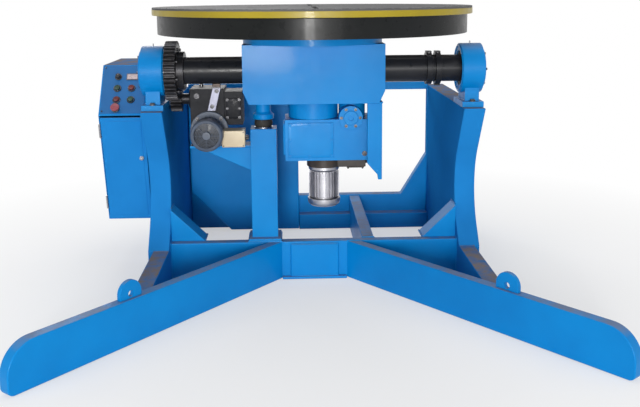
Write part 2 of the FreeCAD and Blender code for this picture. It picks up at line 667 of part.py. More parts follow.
def build_stop_post():
    """Square tube with foot plate and cap plate under the tilting body."""
    foot = box("post_foot_plate", "-post_left - post_lip", "front_y", "beam_height",
               "post_width + 2 * post_lip", "post_width + 2 * post_lip", "post_foot")
    outer = box("post_outer", "-post_left", "post_front", "beam_height + post_foot",
                "post_width", "post_width", "post_top - beam_height - post_foot")
    inner = box("post_inner", "-post_left + post_wall", "post_front + post_wall", "beam_height + post_foot",
                "post_width - 2 * post_wall", "post_width - 2 * post_wall",
                "post_top - beam_height - post_foot - post_wall")
    node("stop_post", fuse("post_weld", foot, cut("post_tube", outer, inner)))
    x = "-post_left + post_width / 2"
    y = "post_front + post_width / 2"
    node("stop_buffer", rod("buffer_rubber", "z", x, y, "post_top", "buffer_radius", "buffer_height"))
    top = "post_top + buffer_height + rest_gap"
    node("rest_foot", rod("rest_round", "z", x, y, top, "rest_radius", f"body_bottom - ({top})"))


# ---------------------------------------------------------------- tilt shaft and bearings

def build_pillow(word, side):
    """Pillow block on top of a cheek, with its bearing ring."""
    middle = "cheek_inner + cheek_width / 2"
    x = low_x(side, f"{middle} - pillow_width / 2", "pillow_width")
    head = rod(f"pillow_head_{word}", "x", x, "0", "tilt_height", "pillow_radius", "pillow_width")
    foot_x = low_x(side, f"{middle} - cheek_width / 2", "cheek_width")
    foot = box(f"pillow_foot_{word}", foot_x, "-pillow_long / 2", "cheek_top",
               "cheek_width", "pillow_long", "pillow_foot")
    stem_x = low_x(side, f"{middle} - pillow_width / 3", "2 * pillow_width / 3")
    stem = box(f"pillow_stem_{word}", stem_x, "-0.65 * pillow_radius", "cheek_top",
               "2 * pillow_width / 3", "1.3 * pillow_radius", "tilt_height - cheek_top")
    bore = rod(f"pillow_bore_{word}", "x", x, "0", "tilt_height",
               "shaft_radius + bearing_fit + bearing_wall", "pillow_width")
    node(f"pillow_{word}", cut(f"pillow_{word}_casting", fuse(f"pillow_{word}_solid", head, foot, stem), bore))
    ring_x = low_x(side, f"{middle} - bearing_width / 2", "bearing_width")
    ring = rod(f"bearing_outer_{word}", "x", ring_x, "0", "tilt_height",
               "shaft_radius + bearing_fit + bearing_wall", "bearing_width")
    hole = rod(f"bearing_hole_{word}", "x", ring_x, "0", "tilt_height",
               "shaft_radius + bearing_fit", "bearing_width")
    node(f"bearing_{word}", cut(f"bearing_{word}_ring", ring, hole))


def build_pillow_trim():
    """Caps over the shaft ends and the bolts of the pillow blocks."""
    caps, bolts = [], []
    outer = "cheek_inner + cheek_width / 2 + pillow_width / 2"
    for word, side in SIDES:
        x = low_x(side, outer, "cap_thick")
        caps.append(rod(f"cap_{word}", "x", x, "0", "tilt_height", "cap_radius", "cap_thick"))
        for end in (-1, 1):
            bolts.append(hexagon(f"pillow_bolt_{word}_{end + 1}", "z",
                                 f"{side} * (cheek_inner + cheek_width / 2)",
                                 f"{end} * (pillow_long / 2 - bolt_margin)", "cheek_top + pillow_foot"))
    node("bearing_caps", group("cap_pair", caps))
    node("pillow_bolts", group("pillow_bolt_set", bolts))


def build_trunnion(word, side):
    """Tilt shaft stub from the body's side plate into its bearing."""
    end = "cheek_inner + cheek_width / 2 + pillow_width / 2 - shaft_recess"
    x = low_x(side, "body_half", f"{end} - body_half")
    node(f"trunnion_{word}", rod(f"trunnion_{word}_bar", "x", x, "0", "tilt_height",
                                 "shaft_radius", f"{end} - body_half"))


def build_limit_cams():
    """Two split rings on the right shaft: one lobe trips a sensor when level, one when upright."""
    rings, barrels, holes = [], [], []
    for index, turn in enumerate((Rotation(Vector(1, 0, 0), -90), Rotation(Vector(1, 0, 0), 180))):
        near = f"cam_x + {index} * cam_step"
        disc = rod(f"cam_disc_{index}", "x", near, "0", "tilt_height", "cam_radius", "cam_width")
        clamp = box(f"cam_clamp_{index}", near, "-clamp_width / 2", "tilt_height + shaft_radius",
                    "cam_width", "clamp_width", "cam_radius + cam_lobe - shaft_radius")
        lobe = box(f"cam_lobe_block_{index}", "0", "-lobe_width / 2 - axis_y", "cam_radius - cam_lobe",
                   "cam_width", "lobe_width", "2 * cam_lobe")
        lobe = place(group(f"cam_lobe_{index}", [lobe]), near, "0", "tilt_height", turn)
        hole = rod(f"cam_hole_{index}", "x", near, "0", "tilt_height", "shaft_radius", "cam_width")
        rings.append(cut(f"cam_{index}", fuse(f"cam_solid_{index}", disc, clamp, lobe), hole))
        middle = f"{near} + cam_width / 2"
        start = "cam_radius + cam_lobe + sensor_gap"
        barrels.append(rod(f"sensor_{index}", "y", middle, start, "tilt_height",
                           "sensor_radius", "sensor_length"))
        holes.append(rod(f"sensor_hole_{index}", "y", middle, start, "tilt_height",
                         "sensor_radius", "sensor_length"))
    node("limit_cams", group("cam_pair", rings))
    node("tilt_sensors", group("sensor_pair", barrels))
    end = "cheek_inner + cheek_width / 2 - pillow_width / 2"
    arm = box("sensor_arm", "cam_x - arm_reach", "pillow_radius - arm_reach", "tilt_height - arm_height / 2",
              f"{end} - cam_x + arm_reach", "arm_thick", "arm_height")
    node("sensor_bracket", cut("sensor_plate", arm, *holes))


# ---------------------------------------------------------------- tilting body

def build_tilt_body():
    """Hollow box between the shafts, tapered below, with a round seat on top."""
    def section(inset, low):
        half = f"body_half - {inset}"
        return [(f"-({half})", "body_top"), (f"-({half})", "body_knee"),
                (f"-({half} - body_taper)", low), (f"{half} - body_taper", low),
                (half, "body_knee"), (half, "body_top")]
    outer = plate("body_outer", "XZ", section("0", "body_bottom"), "body_depth", y="body_depth / 2")
    inner = plate("body_inner", "XZ", section("body_wall", "body_bottom + body_wall"),
                  "body_depth - 2 * body_wall", y="body_depth / 2 - body_wall")
    seat = rod("body_seat", "z", "0", "0", "body_top", "seat_radius", "seat_thick")
    shell = fuse("body_solid", cut("body_shell", outer, inner), seat)
    pass_hole = rod("body_pass", "z", "spur_x", "0", "body_top - 1", "spur_hole", "seat_thick + 2")
    drop_hole = rod("body_drop", "z", "spur_x", "0", "body_bottom - 1",
                    "output_radius + shaft_room", "body_wall + 2")
    middle = rod("body_middle", "z", "0", "0", "body_bottom - 1", "centre_radius",
                 "body_top - body_bottom + seat_thick - seat_skin + 1")
    node("tilt_body", cut("tilt_body_weld", shell, pass_hole, drop_hole, middle))
    tube = rod("centre_outer", "z", "0", "0", "centre_bottom", "centre_radius",
               "body_top + seat_thick - seat_skin - centre_bottom")
    hole = rod("centre_inner", "z", "0", "0", "centre_bottom + centre_wall",
               "centre_radius - centre_wall", "body_top + seat_thick - centre_bottom")
    node("centre_housing", cut("centre_tube", tube, hole))


def build_drive_bracket():
    """Side plate and front flange that carry the slewing gear unit."""
    web_points = [("-bracket_front", "bracket_tip"), ("-bracket_front", "body_bottom"),
                  ("bracket_front", "body_bottom"), ("bracket_front", "bracket_tip + 2 * bracket_slope")]
    web = plate("bracket_side", "YZ", web_points, "bracket_web", x="bracket_half - bracket_web")
    inner = "bracket_half - bracket_flange"
    points = [(inner, "bracket_tip + bracket_slope"), ("bracket_half", "bracket_tip"),
              ("bracket_half", "body_bottom"), (inner, "body_bottom")]
    flange = plate("bracket_face", "XZ", points, "bracket_web", y="-bracket_front + bracket_web")
    node("drive_bracket", fuse("bracket_weld", web, flange))


# ---------------------------------------------------------------- tilt drive

def build_tilt_gears():
    """Spur gear on the left shaft and the pinion that turns it."""
    module = size["tilt_module"]
    pitch = size["bull_teeth"] * module / 2
    spread = (size["bull_teeth"] + size["pinion_teeth"]) * module / 2
    toward = math.asin(size["pinion_back"] / spread)
    outline_points = tooth_ring(size["bull_teeth"], module, pitch + TIP * module, pitch - ROOT * module,
                                THIN, toward + math.pi / size["bull_teeth"])
    gear = extruded(outline_points, size["bull_width"])
    collar = Part.makeCylinder(size["collar_radius"], size["bull_width"] + size["collar_width"])
    bore = Part.makeCylinder(size["shaft_radius"], size["bull_width"] + size["collar_width"])
    node("bull_gear", shaped("bull_gear_teeth", gear.fuse(collar).cut(bore),
                             "-bull_left", "0", "tilt_height", "x"))
    small = size["pinion_teeth"] * module / 2
    outline_points = tooth_ring(size["pinion_teeth"], module, small + TIP * module, small - ROOT * module,
                                THIN, toward + math.pi)
    pinion = extruded(outline_points, size["bull_width"])
    reach = size["bull_left"] - size["gear_left"] + size["pinion_reach"]
    shaft = Part.makeCylinder(size["output_radius"], reach)
    drop = "sqrt(((bull_teeth + pinion_teeth) * tilt_module / 2)^2 - pinion_back^2)"
    node("tilt_pinion", shaped("tilt_pinion_teeth", pinion.fuse(shaft),
                               "-bull_left", "pinion_back", f"tilt_height - {drop}", "x"))
    return f"tilt_height - {drop}"


def build_tilt_gearbox(output_z):
    """Casing of two stages on a shelf of the stop post."""
    main = box("gear_main", "-gear_left", "gear_front", "gear_bottom",
               "gear_width", "gear_depth", "gear_top - gear_bottom")
    stage = box("gear_stage", "-gear_left + gear_width", "gear_front + stage_inset", "stage_bottom",
                "stage_width", "gear_depth - 2 * stage_inset", "stage_height - stage_inset")
    bore = rod("gear_bore", "x", "-gear_left", "pinion_back", output_z,
               "output_radius + bearing_fit", "pinion_reach + shaft_room")
    node("tilt_gearbox", cut("gearbox_casting", fuse("gearbox_solid", main, stage), bore))
    shelf = box("shelf_plate", "-gear_left - shelf_lip", "gear_front + shelf_lip", "gear_bottom - sheet_thick",
                "gear_left + shelf_lip - post_left", "gear_depth / 2 + shelf_lip", "sheet_thick")
    web_points = [("-post_left", "gear_bottom - sheet_thick"), ("-post_left", "gear_bottom - shelf_drop"),
                  ("-gear_left + 3 * shelf_lip", "gear_bottom - sheet_thick")]
    web = plate("shelf_web", "XZ", web_points, "sheet_thick", y="post_front + post_width / 2")
    node("gearbox_shelf", fuse("shelf_weld", shelf, web))


def build_tilt_motor():
    """Flanged motor whose fan cowl faces the operator."""
    long = "gear_front + motor_reach"
    frame = turned("tilt_motor_body", [("0", "cowl_length"), ("motor_radius - cowl_lip", "cowl_length"),
                                       ("motor_radius - cowl_lip", f"{long} - motor_lip"),
                                       ("motor_radius + motor_lip", f"{long} - motor_lip"),
                                       ("motor_radius + motor_lip", long), ("0", long)],
                   "y", "-motor_x", "-motor_reach", "motor_z")
    node("tilt_motor", frame)
    bowl = [("0", "0"), ("motor_radius - cowl_round", "0"), ("motor_radius", "cowl_round"),
            ("motor_radius", "cowl_length"), ("0", "cowl_length")]
    cowl = turned("tilt_cowl_body", bowl, "y", "-motor_x", "-motor_reach", "motor_z")
    node("tilt_fan_cowl", cowl)
    case = box("terminal_case", "-motor_x + motor_radius - cowl_lip", "-box_depth + box_back",
               "motor_z - box_drop", "box_width", "box_depth", "box_height")
    node("tilt_terminal_box", case)


def build_earth_brush():
    """Slanted bar on the gear unit that carries the welding-current brush."""
    low = "motor_z + motor_radius + motor_lip + earth_gap"
    high = "tilt_height - shaft_radius - earth_block"
    foot = "-earth_x - earth_lean"
    points = [(f"{foot} - earth_width / 2", low), (f"{foot} + earth_width / 2", low),
              ("-earth_x + earth_width / 2", high), ("-earth_x - earth_width / 2", high)]
    bar = plate("earth_bar_body", "XZ", points, "gear_front", y="gear_front")
    node("earth_bar", bar)
    block = box("earth_brush_block", "-earth_x - earth_width / 2", "-sheet_thick", high,
                "earth_width", "2 * sheet_thick", "earth_block - brush_gap")
    node("earth_brush", block)


# ---------------------------------------------------------------- table and slewing drive

def build_slewing_rings():
    """Fixed ring on the seat, toothed ring inside it, and the pinion."""
    bottom = "body_top + seat_thick"
    outer = rod("ring_outer", "z", "0", "0", bottom, "ring_radius", "ring_height")
    inner = rod("ring_inner", "z", "0", "0", bottom, "ring_bore", "ring_height")
    node("ring_fixed", cut("ring_fixed_race", outer, inner))
    module = size["slew_module"]
    pitch = size["slew_teeth"] * module / 2
    gaps = tooth_ring(size["slew_teeth"], module, pitch + ROOT * module, pitch - TIP * module, -THIN, 0)
    disc = Part.makeCylinder(size["ring_bore"] - size["ring_gap"], size["slew_height"])
    node("ring_moving", shaped("ring_moving_teeth", disc.cut(extruded(gaps, size["slew_height"])),
                               "0", "0", f"{bottom} + ring_lift"))
    small = size["spur_teeth"] * module / 2
    teeth = tooth_ring(size["spur_teeth"], module, small + TIP * module, small - ROOT * module, THIN, 0)
    low = size["drive_top"] - size["spur_depth"]
    rise = size["body_top"] + size["seat_thick"] + 2 * size["ring_lift"] - low
    spur = extruded(teeth, size["spur_height"])
    spur.translate(Vector(0, 0, rise))
    shaft = Part.makeCylinder(size["output_radius"], rise + size["spur_height"])
    node("slew_pinion", shaped("slew_pinion_teeth", spur.fuse(shaft), "spur_x", "0", "drive_top - spur_depth"))


def build_table():
    """Plate with radial clamping slots, and the ribbed skirt and hub under it."""
    disc = rod("table_disc", "z", "0", "0", "table_top - table_thick", "table_radius", "table_thick")
    tools = [rod("table_centre", "z", "0", "0", "table_top - table_thick", "table_bore", "table_thick")]
    long = "slot_outer - slot_inner"
    for index in range(int(size["slot_count"])):
        turn = Rotation(Vector(0, 0, 1), 360 * index / size["slot_count"])
        narrow = box(f"slot_{index}", "slot_inner", "-slot_width / 2 - axis_y", "0",
                     long, "slot_width", "table_thick")
        wide = box(f"slot_wide_{index}", "slot_inner", "-slot_head / 2 - axis_y", "0",
                   long, "slot_head", "table_thick / 2")
        tools.append(place(fuse(f"slot_shape_{index}", narrow, wide), "0", "0",
                           "table_top - table_thick", turn))
    node("table_plate", cut("table_plate_cut", disc, *tools))
    under = "table_top - table_thick"
    rim = "table_radius - skirt_inset"
    outer = rod("skirt_outer", "z", "0", "0", f"{under} - skirt_height", rim, "skirt_height")
    inner = rod("skirt_inner", "z", "0", "0", f"{under} - skirt_height", f"{rim} - skirt_wall", "skirt_height")
    hub = rod("hub_outer", "z", "0", "0", "hub_foot", "ring_bore - hub_inset", "hub_height")
    hole = rod("hub_inner", "z", "0", "0", "hub_foot", "slot_inner", "hub_height")
    ribs = []
    for index in range(int(size["slot_count"])):
        turn = Rotation(Vector(0, 0, 1), 360 * (index + 0.5) / size["slot_count"])
        rib = box(f"rib_{index}", "ring_bore - 2 * hub_inset", "-table_rib / 2 - axis_y", "0",
                  f"{rim} - skirt_wall / 2 - ring_bore + 2 * hub_inset", "table_rib", "hub_height")
        ribs.append(place(group(f"rib_turned_{index}", [rib]), "0", "0", "hub_foot", turn))
    skirt = cut("skirt_ring", outer, inner)
    node("table_skirt", fuse("skirt_weld", skirt, cut("hub_ring", hub, hole), *ribs))


def build_slewing_drive():
    """Parallel-shaft gear unit under the body, with its motor hanging from it."""
    right = "bracket_half - bracket_web"
    case = box("drive_case", "-drive_left", "-drive_depth / 2", "drive_bottom",
               f"{right} + drive_left", "drive_depth", "drive_top - drive_bottom")
    neck = rod("drive_neck", "z", "spur_x", "0", "drive_top", "neck_radius", "body_bottom - drive_top")
    collar = rod("drive_collar", "z", "spur_x", "0", "body_bottom - neck_collar",
                 "neck_radius + neck_flange", "neck_collar")
    bore = rod("drive_bore", "z", "spur_x", "0", "drive_top - spur_depth - shaft_room",
               "output_radius + bearing_fit", "2 * spur_depth")
    clear = rod("drive_clear", "z", "spur_x", "0", "drive_top + spur_depth - shaft_room",
                "output_radius + shaft_room", "neck_height")
    cover = rod("drive_cover", "y", "cover_x", "-drive_depth / 2 - cover_proud", "drive_top + cover_rise",
                "cover_radius", "cover_proud + cover_radius")
    node("drive_gearbox", cut("drive_casting", fuse("drive_solid", case, neck, collar, cover), bore, clear))
    flange = rod("adapter_round", "z", "rotor_x", "0", "rotor_top",
                 "rotor_radius + adapter_lip", "adapter_height")
    arm = box("adapter_arm", "rotor_x", "-adapter_depth / 2", "rotor_top",
              "adapter_reach - rotor_x", "adapter_depth", "adapter_height")
    node("drive_adapter", fuse("adapter_weld", flange, arm))
    node("slew_motor", rod("slew_motor_frame", "z", "rotor_x", "0", "rotor_bottom",
                           "rotor_radius - rotor_lip", "rotor_height"))
    bowl = [("0", "0"), ("rotor_radius - dome_round", "0"), ("rotor_radius", "dome_round"),
            ("rotor_radius", "dome_height"), ("0", "dome_height")]
    cowl = turned("slew_cowl_body", bowl, "z", "rotor_x", "0", "dome_bottom")
    node("slew_fan_cowl", cowl)


# ---------------------------------------------------------------- control cabinet

DESK_UP = ("cos(desk_angle)", "sin(desk_angle)")
DESK_OUT = ("-sin(desk_angle)", "cos(desk_angle)")


def desk_spot(along, out):
    """Formulas for y and z of a point on the sloping panel, and a distance off it."""
    y = f"belly_y + ({along}) * {DESK_UP[0]} + ({out}) * ({DESK_OUT[0]})"
    z = f"belly_z + ({along}) * {DESK_UP[1]} + ({out}) * {DESK_OUT[1]}"
    return y, z


def build_cabinet():
    """Sheet case with a sloping desk, open in front for the door."""
    top = ("belly_y + desk_length * cos(desk_angle)", "belly_z + desk_length * sin(desk_angle)")
    side = [("cabinet_foot", "cabinet_bottom"), ("belly_y", "belly_z"), top,
            ("cabinet_back", top[1]), ("cabinet_back", "cabinet_bottom")]
    x = "-cheek_inner - cheek_width - cabinet_width"
    outer = plate("cabinet_outer", "YZ", side, "cabinet_width", x=x)
    wall = "cabinet_wall"
    inside = [("cabinet_foot - cabinet_mouth", f"cabinet_bottom + {wall} * 5"),
              ("belly_y - cabinet_mouth", f"belly_z - {wall} * 3"),
              (f"belly_y + {wall} * 2", f"belly_z - {wall}"), (f"{top[0]} + {wall}", f"{top[1]} - {wall}"),
              (f"cabinet_back - {wall}", f"{top[1]} - {wall}"),
              (f"cabinet_back - {wall}", f"cabinet_bottom + {wall}"),
              (f"cabinet_foot + {wall} * 4", f"cabinet_bottom + {wall}"),
              (f"cabinet_foot + {wall} * 4", f"cabinet_bottom + {wall} * 5")]
    inner = plate("cabinet_inner", "YZ", inside, f"cabinet_width - 2 * {wall}", x=f"{x} + {wall}")
    node("cabinet_case", cut("cabinet_sheet", outer, inner))
    turn = Rotation(Vector(1, 0, 0), size["desk_angle"])
    y, z = desk_spot("desk_inset", "0")
    face = DOC.addObject("Part::Box", "desk_plate")
    for prop, words in (("Length", "cabinet_width - 2 * desk_inset"),
                        ("Width", "desk_length - 2 * desk_inset"), ("Height", "desk_thick")):
        face.setExpression(prop, expr(words))
    node("control_panel", place(face, f"{x} + desk_inset", y, z, turn))


def door_spot(along, out):
    """Formulas for y and z of a point up the cabinet's slanted front, and a distance off it."""
    slope = "sqrt((belly_z - cabinet_bottom)^2 + (cabinet_foot - belly_y)^2)"
    rise_y = f"(belly_y - cabinet_foot) / {slope}"
    rise_z = f"(belly_z - cabinet_bottom) / {slope}"
    y = f"cabinet_foot + ({along}) * ({rise_y}) - ({out}) * ({rise_z})"
    z = f"cabinet_bottom + ({along}) * ({rise_z}) + ({out}) * ({rise_y})"
    return y, z


def build_door():
    """Door on the slanted front of the cabinet, with its hinges and quarter-turn latch."""
    left = "-cheek_inner - cheek_width - cabinet_width"
    slope = "sqrt((belly_z - cabinet_bottom)^2 + (cabinet_foot - belly_y)^2)"
    lean = math.degrees(math.atan2(size["belly_z"] - size["cabinet_bottom"],
                                   size["belly_y"] - size["cabinet_foot"]))
    turn = Rotation(Vector(1, 0, 0), lean)
    start = "hinge_radius + hinge_inset + door_gap"
    leaf = DOC.addObject("Part::Box", "door_leaf")
    for prop, words in (("Length", f"cabinet_width - desk_inset - ({start})"),
                        ("Width", f"{slope} - door_low - door_high"), ("Height", "door_thick")):
        leaf.setExpression(prop, expr(words))
    node("cabinet_door", place(leaf, f"{left} + {start}", *door_spot("door_low", "door_gap"), turn))
    knob = door_spot(f"latch_share * {slope}", "door_gap + door_thick + button_clear")
    node("door_latch", rod("door_latch_knob", turn, f"{left} + cabinet_width - latch_inset", *knob,
                           "latch_radius", "latch_length"))
    upright = Rotation(Vector(1, 0, 0), lean - 90)
    hinges = []
    for index, share in enumerate(("hinge_low", "hinge_high")):
        foot = f"{share} * {slope}"
        barrel = rod(f"hinge_barrel_{index}", upright, f"{left} + hinge_inset",
                     *door_spot(foot, "hinge_radius"), "hinge_radius", "hinge_length")
        base = DOC.addObject("Part::Box", f"hinge_base_{index}")
        for prop, words in (("Length", "hinge_radius"), ("Width", "hinge_length"), ("Height", "hinge_radius")):
            base.setExpression(prop, expr(words))
        place(base, left, *door_spot(foot, "0"), turn)
        hinges.append(fuse(f"hinge_{index}", barrel, base))
    node("door_hinges", group("hinge_pair", hinges))


BUTTONS = (("tilt_up_button", "row_high", "column_left"), ("tilt_down_button", "row_high", "column_right"),
           ("turn_left_button", "row_low", "column_left"), ("turn_right_button", "row_low", "column_right"))


def build_controls():
    """Push buttons, emergency stop, speed knob and speed meter on the panel."""
    turn = Rotation(Vector(1, 0, 0), size["desk_angle"])
    left = "-cheek_inner - cheek_width - cabinet_width"
    rings = []
    spots = [(name, along, across, "button_radius", "bezel_radius") for name, along, across in BUTTONS]
    spots.append(("estop_button", "row_stop", "column_left", "estop_stem", "bezel_radius"))
    for name, along, across, radius, ring in spots:
        y, z = desk_spot(along, "desk_thick")
        x = f"{left} + {across}"
        outer = rod(f"{name}_ring", turn, x, y, z, ring, "bezel_height")
        hole = rod(f"{name}_hole", turn, x, y, z, f"{radius} + button_fit", "bezel_height")
        rings.append(cut(f"{name}_bezel", outer, hole))
        y, z = desk_spot(along, "desk_thick + bezel_height")
        cap = rod(f"{name}_cap", turn, x, y, z, radius, "button_rise")
        if name == "estop_button":
            y, z = desk_spot(along, "desk_thick + bezel_height + button_rise")
            cap = fuse("estop_solid", cap, rod("estop_mushroom", turn, x, y, z, "estop_radius", "estop_cap"))
        node(name, cap)
    node("button_bezels", group("bezel_set", rings))
    y, z = desk_spot("row_speed", "desk_thick + button_clear")
    node("speed_knob", rod("speed_knob_body", turn, f"{left} + column_left", y, z,
                           "knob_radius", "knob_height"))
    y, z = desk_spot("row_speed - meter_height / 2", "desk_thick")
    meter = DOC.addObject("Part::Box", "meter_case")
    for prop, words in (("Length", "meter_width"), ("Width", "meter_height"), ("Height", "meter_depth")):
        meter.setExpression(prop, expr(words))
    node("speed_meter", place(meter, f"{left} + column_right - meter_width / 2", y, z, turn))


# ---------------------------------------------------------------- assembly

build_front_beam()
for word, side in SIDES:
    build_leg(word, side)
    build_cheek(word, side)
    build_pillow(word, side)
    build_trunnion(word, side)
build_ribs()
build_apex()
build_lifting_lugs()
build_rear_frame()
build_rear_housing()
build_gussets()
build_stop_post()
build_pillow_trim()
build_limit_cams()
build_tilt_body()
build_drive_bracket()
build_tilt_gearbox(build_tilt_gears())
build_tilt_motor()
build_earth_brush()
build_slewing_rings()
build_table()
build_slewing_drive()
build_cabinet()
build_door()
build_controls()
DOC.recompute()

failed = [o.Name for o in DOC.Objects if "Invalid" in o.State or "Error" in o.State]
for name, piece in NODES:
    shape = piece.Shape
    if shape.isNull() or not shape.isValid() or not shape.Solids:
        failed.append(name)
if failed:
    raise RuntimeError("these did not build: " + ", ".join(failed))

os.makedirs("parts", exist_ok=True)
for name, piece in NODES:
    piece.Shape.exportStep(f"parts/{name}.step")
print(len(NODES), "nodes")
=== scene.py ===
"""A tilting and turning welding positioner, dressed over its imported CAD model."""

import json
import math

import bpy
from mathutils import Matrix, Vector

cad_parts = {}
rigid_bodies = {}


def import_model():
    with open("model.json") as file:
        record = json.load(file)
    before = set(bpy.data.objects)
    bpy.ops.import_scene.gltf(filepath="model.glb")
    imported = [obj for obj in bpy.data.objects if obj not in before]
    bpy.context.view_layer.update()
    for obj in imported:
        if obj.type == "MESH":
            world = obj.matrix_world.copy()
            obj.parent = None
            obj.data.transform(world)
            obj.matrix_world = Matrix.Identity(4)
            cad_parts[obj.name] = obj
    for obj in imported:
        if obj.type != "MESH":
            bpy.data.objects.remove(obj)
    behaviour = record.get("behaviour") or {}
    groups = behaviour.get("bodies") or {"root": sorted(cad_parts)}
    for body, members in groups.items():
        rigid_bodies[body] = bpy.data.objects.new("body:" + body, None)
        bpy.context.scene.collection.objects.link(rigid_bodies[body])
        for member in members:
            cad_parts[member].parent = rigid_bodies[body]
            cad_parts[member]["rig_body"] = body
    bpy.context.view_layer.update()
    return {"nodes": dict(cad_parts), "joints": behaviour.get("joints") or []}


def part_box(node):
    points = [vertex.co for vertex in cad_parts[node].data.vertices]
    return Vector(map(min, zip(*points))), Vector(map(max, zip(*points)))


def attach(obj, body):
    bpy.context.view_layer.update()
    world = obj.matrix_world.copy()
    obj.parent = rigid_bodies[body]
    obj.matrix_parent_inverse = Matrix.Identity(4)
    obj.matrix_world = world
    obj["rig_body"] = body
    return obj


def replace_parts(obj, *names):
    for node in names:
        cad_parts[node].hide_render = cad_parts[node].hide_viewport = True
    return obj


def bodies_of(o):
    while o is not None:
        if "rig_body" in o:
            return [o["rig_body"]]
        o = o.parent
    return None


for leftover in list(bpy.data.objects):
    bpy.data.objects.remove(leftover)
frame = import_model()

bl_info = {
    "name": "Welding positioner",
    "version": (1, 0, 0),
    "blender": (4, 5, 0),
    "location": "View3D > Sidebar > Positioner",
    "description": "Builds the paintwork, drives, controls and fittings of a welding positioner",
    "category": "Add Mesh",
}

AXES = {
    "X": Matrix.Rotation(math.radians(90), 4, "Y"),
    "-X": Matrix.Rotation(math.radians(-90), 4, "Y"),
    "Y": Matrix.Rotation(math.radians(-90), 4, "X"),
    "-Y": Matrix.Rotation(math.radians(90), 4, "X"),
    "Z": Matrix.Identity(4),
    "-Z": Matrix.Rotation(math.radians(180), 4, "X"),
}


# ---------------------------------------------------------------- sizes and colours


def length(name, default, description):
    return bpy.props.FloatProperty(
        name=name, description=description, default=default, min=0.0, unit="LENGTH", subtype="DISTANCE"
    )


def colour(name, default, description):
    return bpy.props.FloatVectorProperty(
        name=name, description=description, default=default, size=3, min=0.0, max=1.0, subtype="COLOR"
    )


def angle(name, default, description):
    return bpy.props.FloatProperty(
        name=name, description=description, default=math.radians(default), unit="ROTATION", subtype="ANGLE"
    )


class PositionerSizes(bpy.types.PropertyGroup):
    edge_round: length("Plate edge round", 0.0025, "Radius on the edges of cut plate")
    box_round: length("Box corner round", 0.005, "Radius on the corners of folded and rolled box sections")
    cast_round: length("Casting edge round", 0.004, "Radius on the edges of castings")
    weld_width: length("Weld width", 0.009, "Width of a fillet weld bead")
    weld_pitch: length("Weld ripple", 0.006, "Distance between the ripples of a weld bead")
    rim_band: length("Rim band height", 0.0235, "Height of the painted safety band round the table")
    door_lean: angle("Door lean", 102.34, "Tilt of the cabinet's front from lying flat")
    desk_slope: angle("Desk slope", 53.3, "Slope of the control panel")


class PositionerColours(bpy.types.PropertyGroup):
    machine_blue: colour("Machine blue", (0.0, 0.232, 0.60), "Gloss enamel of the weldments")
    blue_shade: colour("Blue shade", (0.0, 0.184, 0.51), "The enamel where it lies thicker")
    shaft_black: colour("Shaft black", (0.009, 0.010, 0.013), "Satin black of the drum, shaft and ring")
    safety_yellow: colour("Safety yellow", (0.33, 0.25, 0.008), "Enamel of the band round the table")
    # The table face's dark grey is partly the steel's own tone and partly a painted dark reflection of the
    # room.
    table_steel: colour("Table steel", (0.12, 0.12, 0.12), "Turned and oiled face of the table")
    bright_steel: colour("Bright steel", (0.46, 0.46, 0.47), "Machined and plated steel")
    dark_steel: colour("Dark steel", (0.08, 0.08, 0.085), "Blackened bolts and plates")
    motor_grey: colour("Motor grey", (0.070, 0.092, 0.135), "Grey enamel of the tilt motor")
    bright_alloy: colour("Bright alloy", (0.52, 0.52, 0.55), "Bare aluminium of the slewing motor")
    bar_grey: colour("Bar grey", (0.32, 0.33, 0.42), "Pale enamel of the earth bar")
    cream: colour("Cream", (0.60, 0.50, 0.34), "Moulded terminal box")


def sizes():
    return bpy.context.scene.positioner_sizes


def colours():
    return bpy.context.scene.positioner_colours


# ---------------------------------------------------------------- finishes

PRIMER = (0.05, 0.07, 0.10)  # shows where the blue enamel has worn off a corner


def link(tree, source, target):
    tree.links.new(source, target)


def noise(tree, coords, scale, detail=4.0, rough=0.55):
    node = tree.nodes.new("ShaderNodeTexNoise")
    node.inputs["Scale"].default_value = scale
    node.inputs["Detail"].default_value = detail
    node.inputs["Roughness"].default_value = rough
    link(tree, coords, node.inputs["Vector"])
    return node.outputs["Fac"]


def spread(tree, value, low, high, to_low=0.0, to_high=1.0):
    """Maps a range of one value onto another range, held at its ends."""
    node = tree.nodes.new("ShaderNodeMapRange")
    for socket, number in zip(node.inputs[1:5], (low, high, to_low, to_high)):
        socket.default_value = number
    link(tree, value, node.inputs["Value"])
    return node.outputs["Result"]


def sums(tree, kind, first, second):
    node = tree.nodes.new("ShaderNodeMath")
    node.operation = kind
    for socket, value in zip(node.inputs, (first, second)):
        if isinstance(value, (int, float)):
            socket.default_value = value
        else:
            link(tree, value, socket)
    return node.outputs["Value"]


def blend(tree, amount, first, second):
    """Mixes two colours, each a socket or three numbers."""
    node = tree.nodes.new("ShaderNodeMix")
    node.data_type = "RGBA"
    link(tree, amount, node.inputs["Factor"])
    for socket, value in zip((node.inputs[6], node.inputs[7]), (first, second)):
        if isinstance(value, bpy.types.NodeSocket):
            link(tree, value, socket)
        else:
            socket.default_value = (*value, 1.0)
    return node.outputs[2]


def seen_rays(tree):
    """Tells rays that reach the camera straight, mirrored or through glass from rays that only light."""
    rays = tree.nodes.new("ShaderNodeLightPath")
    seen = sums(tree, "MAXIMUM", rays.outputs["Is Camera Ray"], rays.outputs["Is Glossy Ray"])
    return sums(tree, "MAXIMUM", seen, rays.outputs["Is Transmission Ray"])


